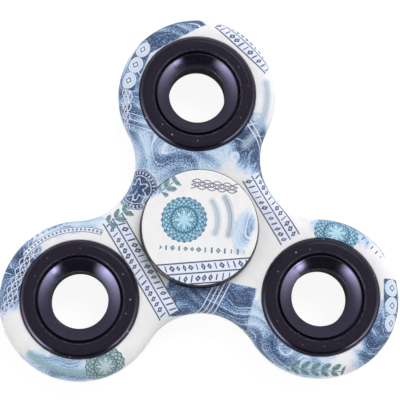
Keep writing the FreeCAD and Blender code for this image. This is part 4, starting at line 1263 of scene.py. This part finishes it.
# %% [markdown]
# ## The lathe
# The weights and the funnels are turned: each is one profile, swept round an axis. Blender has a Screw
# modifier for this, but one tree can sweep the profile, copy it to the three arms, and mirror it to the
# back as well. A mirror turns faces inside out, so the mirrored copy has them flipped back. Before it is
# copied, each point stores its place from the lathe's axis as the attribute from_axis. The materials draw
# their turning lines by it, and the tree uses it too: where it lies between two radii, a face gets a second
# finish.

# %% The lathe's tree: turn one profile
tree, given, made = start_tree("lathe", "Geometry", {
    "Profile": "Geometry", "Middle": "Vector", "Arm Pitch": "Float", "Path Radius": "Float",
    "Segments": "Int", "Both Faces": "Bool", "Finish": "Material", "Band Start": "Float",
    "Band End": "Float", "Band Finish": "Material"}, {"Geometry": "Geometry"})
lathe_tree = tree
profile = moved(tree, rounded(tree, given["Profile"]), X=minus(tree, given["Path Radius"]))
path = add(tree, "GeometryNodeCurvePrimitiveCircle", {
    "Resolution": given["Segments"], "Radius": given["Path Radius"]}, mode="RADIUS")
turned = add(tree, SWEEP, {"Curve": path, "Profile Curve": profile})
turned = add(tree, "GeometryNodeStoreNamedAttribute", {
    "Geometry": turned, "Name": "from_axis", "Value": add(tree, "GeometryNodeInputPosition")},
    data_type="FLOAT_VECTOR", domain="POINT")
mirrored = add(tree, FLIP, [add(tree, TRANSFORM, {"Geometry": turned, "Scale": (1, 1, -1)})])
pair = add(tree, JOIN_PARTS, [[turned, mirrored]])
turned = add(tree, "GeometryNodeSwitch", {"Switch": given["Both Faces"], "False": turned, "True": pair},
             input_type="GEOMETRY")
turned = round_the_hub(tree, moved(tree, turned, Y=given["Arm Pitch"]))
turned = finished(tree, turned, given)
print("the lathe turns, mirrors and copies with", len(tree.nodes), "nodes")

# %% The lathe's tree: a second finish on a band
from_axis = add(tree, "GeometryNodeInputNamedAttribute", {"Name": "from_axis"}, data_type="FLOAT_VECTOR")
radius = axis_distance(tree, from_axis)
past_start = add(tree, "GREATER_THAN", [radius, given["Band Start"]])
before_end = add(tree, "LESS_THAN", [radius, given["Band End"]])
in_band = add(tree, "MULTIPLY", [past_start, before_end])
banded = add(tree, SET_MATERIAL, {
    "Geometry": turned, "Selection": in_band, "Material": given["Band Finish"]})
fill(tree, made, {"Geometry": banded})
print("with the band it has", len(tree.nodes), "nodes")

# %% [markdown]
# ## The ring weights
# Each arm holds a ring of turned steel with a satin black coat. It stands 0.9 mm proud of the plate on both
# sides, with a generous rounding outside and a small chamfer at the mouth of the counterbore. The funnel's
# rim sits in the counterbore, a little below the face, and the narrow groove left round it draws the dark
# circle round each funnel. The band of rubbed gloss starts just outside the flat and ends 0.4 mm short of
# the ring's side.

# %% Turn the weights
SEGMENTS = 160
RIM_DEPTH = 1.35 * MM                           # the counterbore's depth, as in the CAD
RIM_SEAT = RING_FACE - RIM_DEPTH
BORE, COUNTERBORE = radii_at("weight_ring_1", ARM, MIDDLE + RIM_SEAT)[:2]
MOUTH = flat_edges[0]
RING_ROUND = RING_RADIUS - flat_edges[-1]
CHAMFER = MOUTH - COUNTERBORE
BREAK = 0.06 * MM
UNRUBBED = 0.4 * MM
ring_profile = []
for side in (-1, 1):
    points = [(BORE, RIM_SEAT, BREAK), (COUNTERBORE, RIM_SEAT, BREAK),
              (COUNTERBORE, RING_FACE - CHAMFER, BREAK), (MOUTH, RING_FACE, BREAK),
              (RING_RADIUS, RING_FACE, RING_ROUND)]
    ring_profile += [(radius, height * side, rounding) for radius, height, rounding in points[::-side]]
ring_start = profile_mesh("ring_profile", ring_profile, closed=True)
turned_rings = grow("turned_weight_rings", lathe_tree, ring_start, {
    "Middle": (0, 0, MIDDLE), "Arm Pitch": PITCH, "Path Radius": RING_RADIUS, "Segments": SEGMENTS,
    "Both Faces": False, "Finish": satin_coat, "Band Finish": rubbed_coat,
    "Band Start": flat_edges[-1] + 0.01 * MM, "Band End": RING_RADIUS - UNRUBBED})
print("bore %.2f, counterbore %.2f, mouth %.2f, rounding %.2f, proud of the plate by %.2f mm"
      % (BORE / MM, COUNTERBORE / MM, MOUTH / MM, RING_ROUND / MM, (RING_FACE - BODY_FACE) / MM))

# %% [markdown]
# ## The funnels
# A funnel of polished black aluminium is pressed into each side of each weight, and the pair meet in the
# middle. A rim sits in the counterbore, a long slope leads down to the throat, and the throat's edge is
# rounded, which gives the hole its thin bright line. The slope is hollow like a bowl: it falls by 39
# degrees at the mouth and by 27 at the throat, as a form tool leaves it. So a reflection bends on its way
# down instead of lying dead straight.

# %% Measure the funnels
hole = next(m for m in frame["record"]["mounts"] if m["name"] == "weight_hole_1")["dims"]
THROAT = hole["r_mm"] * MM
RIM_FACE = eyelet_high.z - MIDDLE
SLOPE_MOUTH = radii_at("front_eyelet_1", ARM, eyelet_high.z)[0]
LAND, RIM = radii_at("front_eyelet_1", ARM, MIDDLE + RIM_SEAT)
SEAM, TUBE = radii_at("front_eyelet_1", ARM, MIDDLE)
LAND_START = min(v.co.z - MIDDLE for v in nodes["front_eyelet_1"].data.vertices
                 if abs(math.hypot(v.co.x, v.co.y - PITCH) - LAND) < NEAR)
print("throat %.2f, mouth %.2f, rim %.2f, tube %.2f mm"
      % (THROAT / MM, SLOPE_MOUTH / MM, RIM / MM, TUBE / MM))

# %% [markdown]
# The hollow slope is two straight runs, one at each angle, with their common corner rounded so widely that
# most of both runs becomes one arc.

# %% Turn the funnels
MOUTH_SLOPE, THROAT_SLOPE = math.radians(39), math.radians(27)
THROAT_ROUND, LAND_ROUND, RIM_ROUND, MOUTH_ROUND = 0.34 * MM, 0.1 * MM, 0.05 * MM, 0.04 * MM
CRISP = 0.02 * MM
ARC_SHARE = 0.9                                 # how much of the lower run the arc takes
PAST_THROAT = 0.015 * MM                        # the matt bore ends where the throat's rounding starts
half_run = (SLOPE_MOUTH - THROAT) / 2
bend_height = RIM_FACE - half_run * math.tan(MOUTH_SLOPE)
throat_top = bend_height - half_run * math.tan(THROAT_SLOPE)
BEND_ROUND = ARC_SHARE * half_run / math.cos(THROAT_SLOPE) / math.tan((MOUTH_SLOPE - THROAT_SLOPE) / 2)
funnel_profile = [
    (SEAM, 0, CRISP), (TUBE, 0, CRISP), (TUBE, LAND_START, CRISP), (LAND, LAND_START, LAND_ROUND),
    (LAND, RIM_SEAT, CRISP), (RIM, RIM_SEAT, CRISP), (RIM, RIM_FACE, RIM_ROUND),
    (SLOPE_MOUTH, RIM_FACE, MOUTH_ROUND), (THROAT + half_run, bend_height, BEND_ROUND),
    (THROAT, throat_top, THROAT_ROUND), (THROAT, SEAM - THROAT, CRISP)]
funnel_start = profile_mesh("funnel_profile", funnel_profile, closed=True)
funnels = grow("funnel_eyelets", lathe_tree, funnel_start, {
    "Middle": (0, 0, MIDDLE), "Arm Pitch": PITCH, "Path Radius": RIM, "Segments": SEGMENTS,
    "Both Faces": True, "Finish": black_anodised, "Band Finish": matt_bore,
    "Band Start": 0.0, "Band End": THROAT + PAST_THROAT})
print("bend radius %.1f, throat top %.2f mm" % (BEND_ROUND / MM, throat_top / MM))

# %% [markdown]
# ## Joining the frame
# The new pieces ride on the body that turns, and each stands for the CAD pieces that it replaces. Those
# stay in the frame, hidden, because the physics still needs them. The other CAD pieces keep their shape and
# get their finish.

# %% Ride, replace and dress
ring_nodes = ["weight_ring_%d" % arm for arm in (1, 2, 3)]
eyelet_nodes = ["%s_eyelet_%d" % (side, arm) for side in ("front", "back") for arm in (1, 2, 3)]
for piece, slot, replaced in (
        (printed_body, "body_print", ["spinner_body"]),
        (turned_rings, "weight_black", ring_nodes),
        (funnels, "eyelet_black", eyelet_nodes)):
    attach(piece, "spinner")
    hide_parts(*replaced)

finishes = {
    "spinner_body": printed_abs, "weight_ring": satin_coat, "eyelet": black_anodised, "cap": printed_cap,
    "race": ground_steel, "ball": lapped_steel, "cage": tumbled_strip, "shield": brushed_shield}
for name, node in nodes.items():
    finish = next(material for part, material in finishes.items() if part in name)
    node.material_slots[0].material = finish
print("dressed", len(nodes), "CAD pieces")
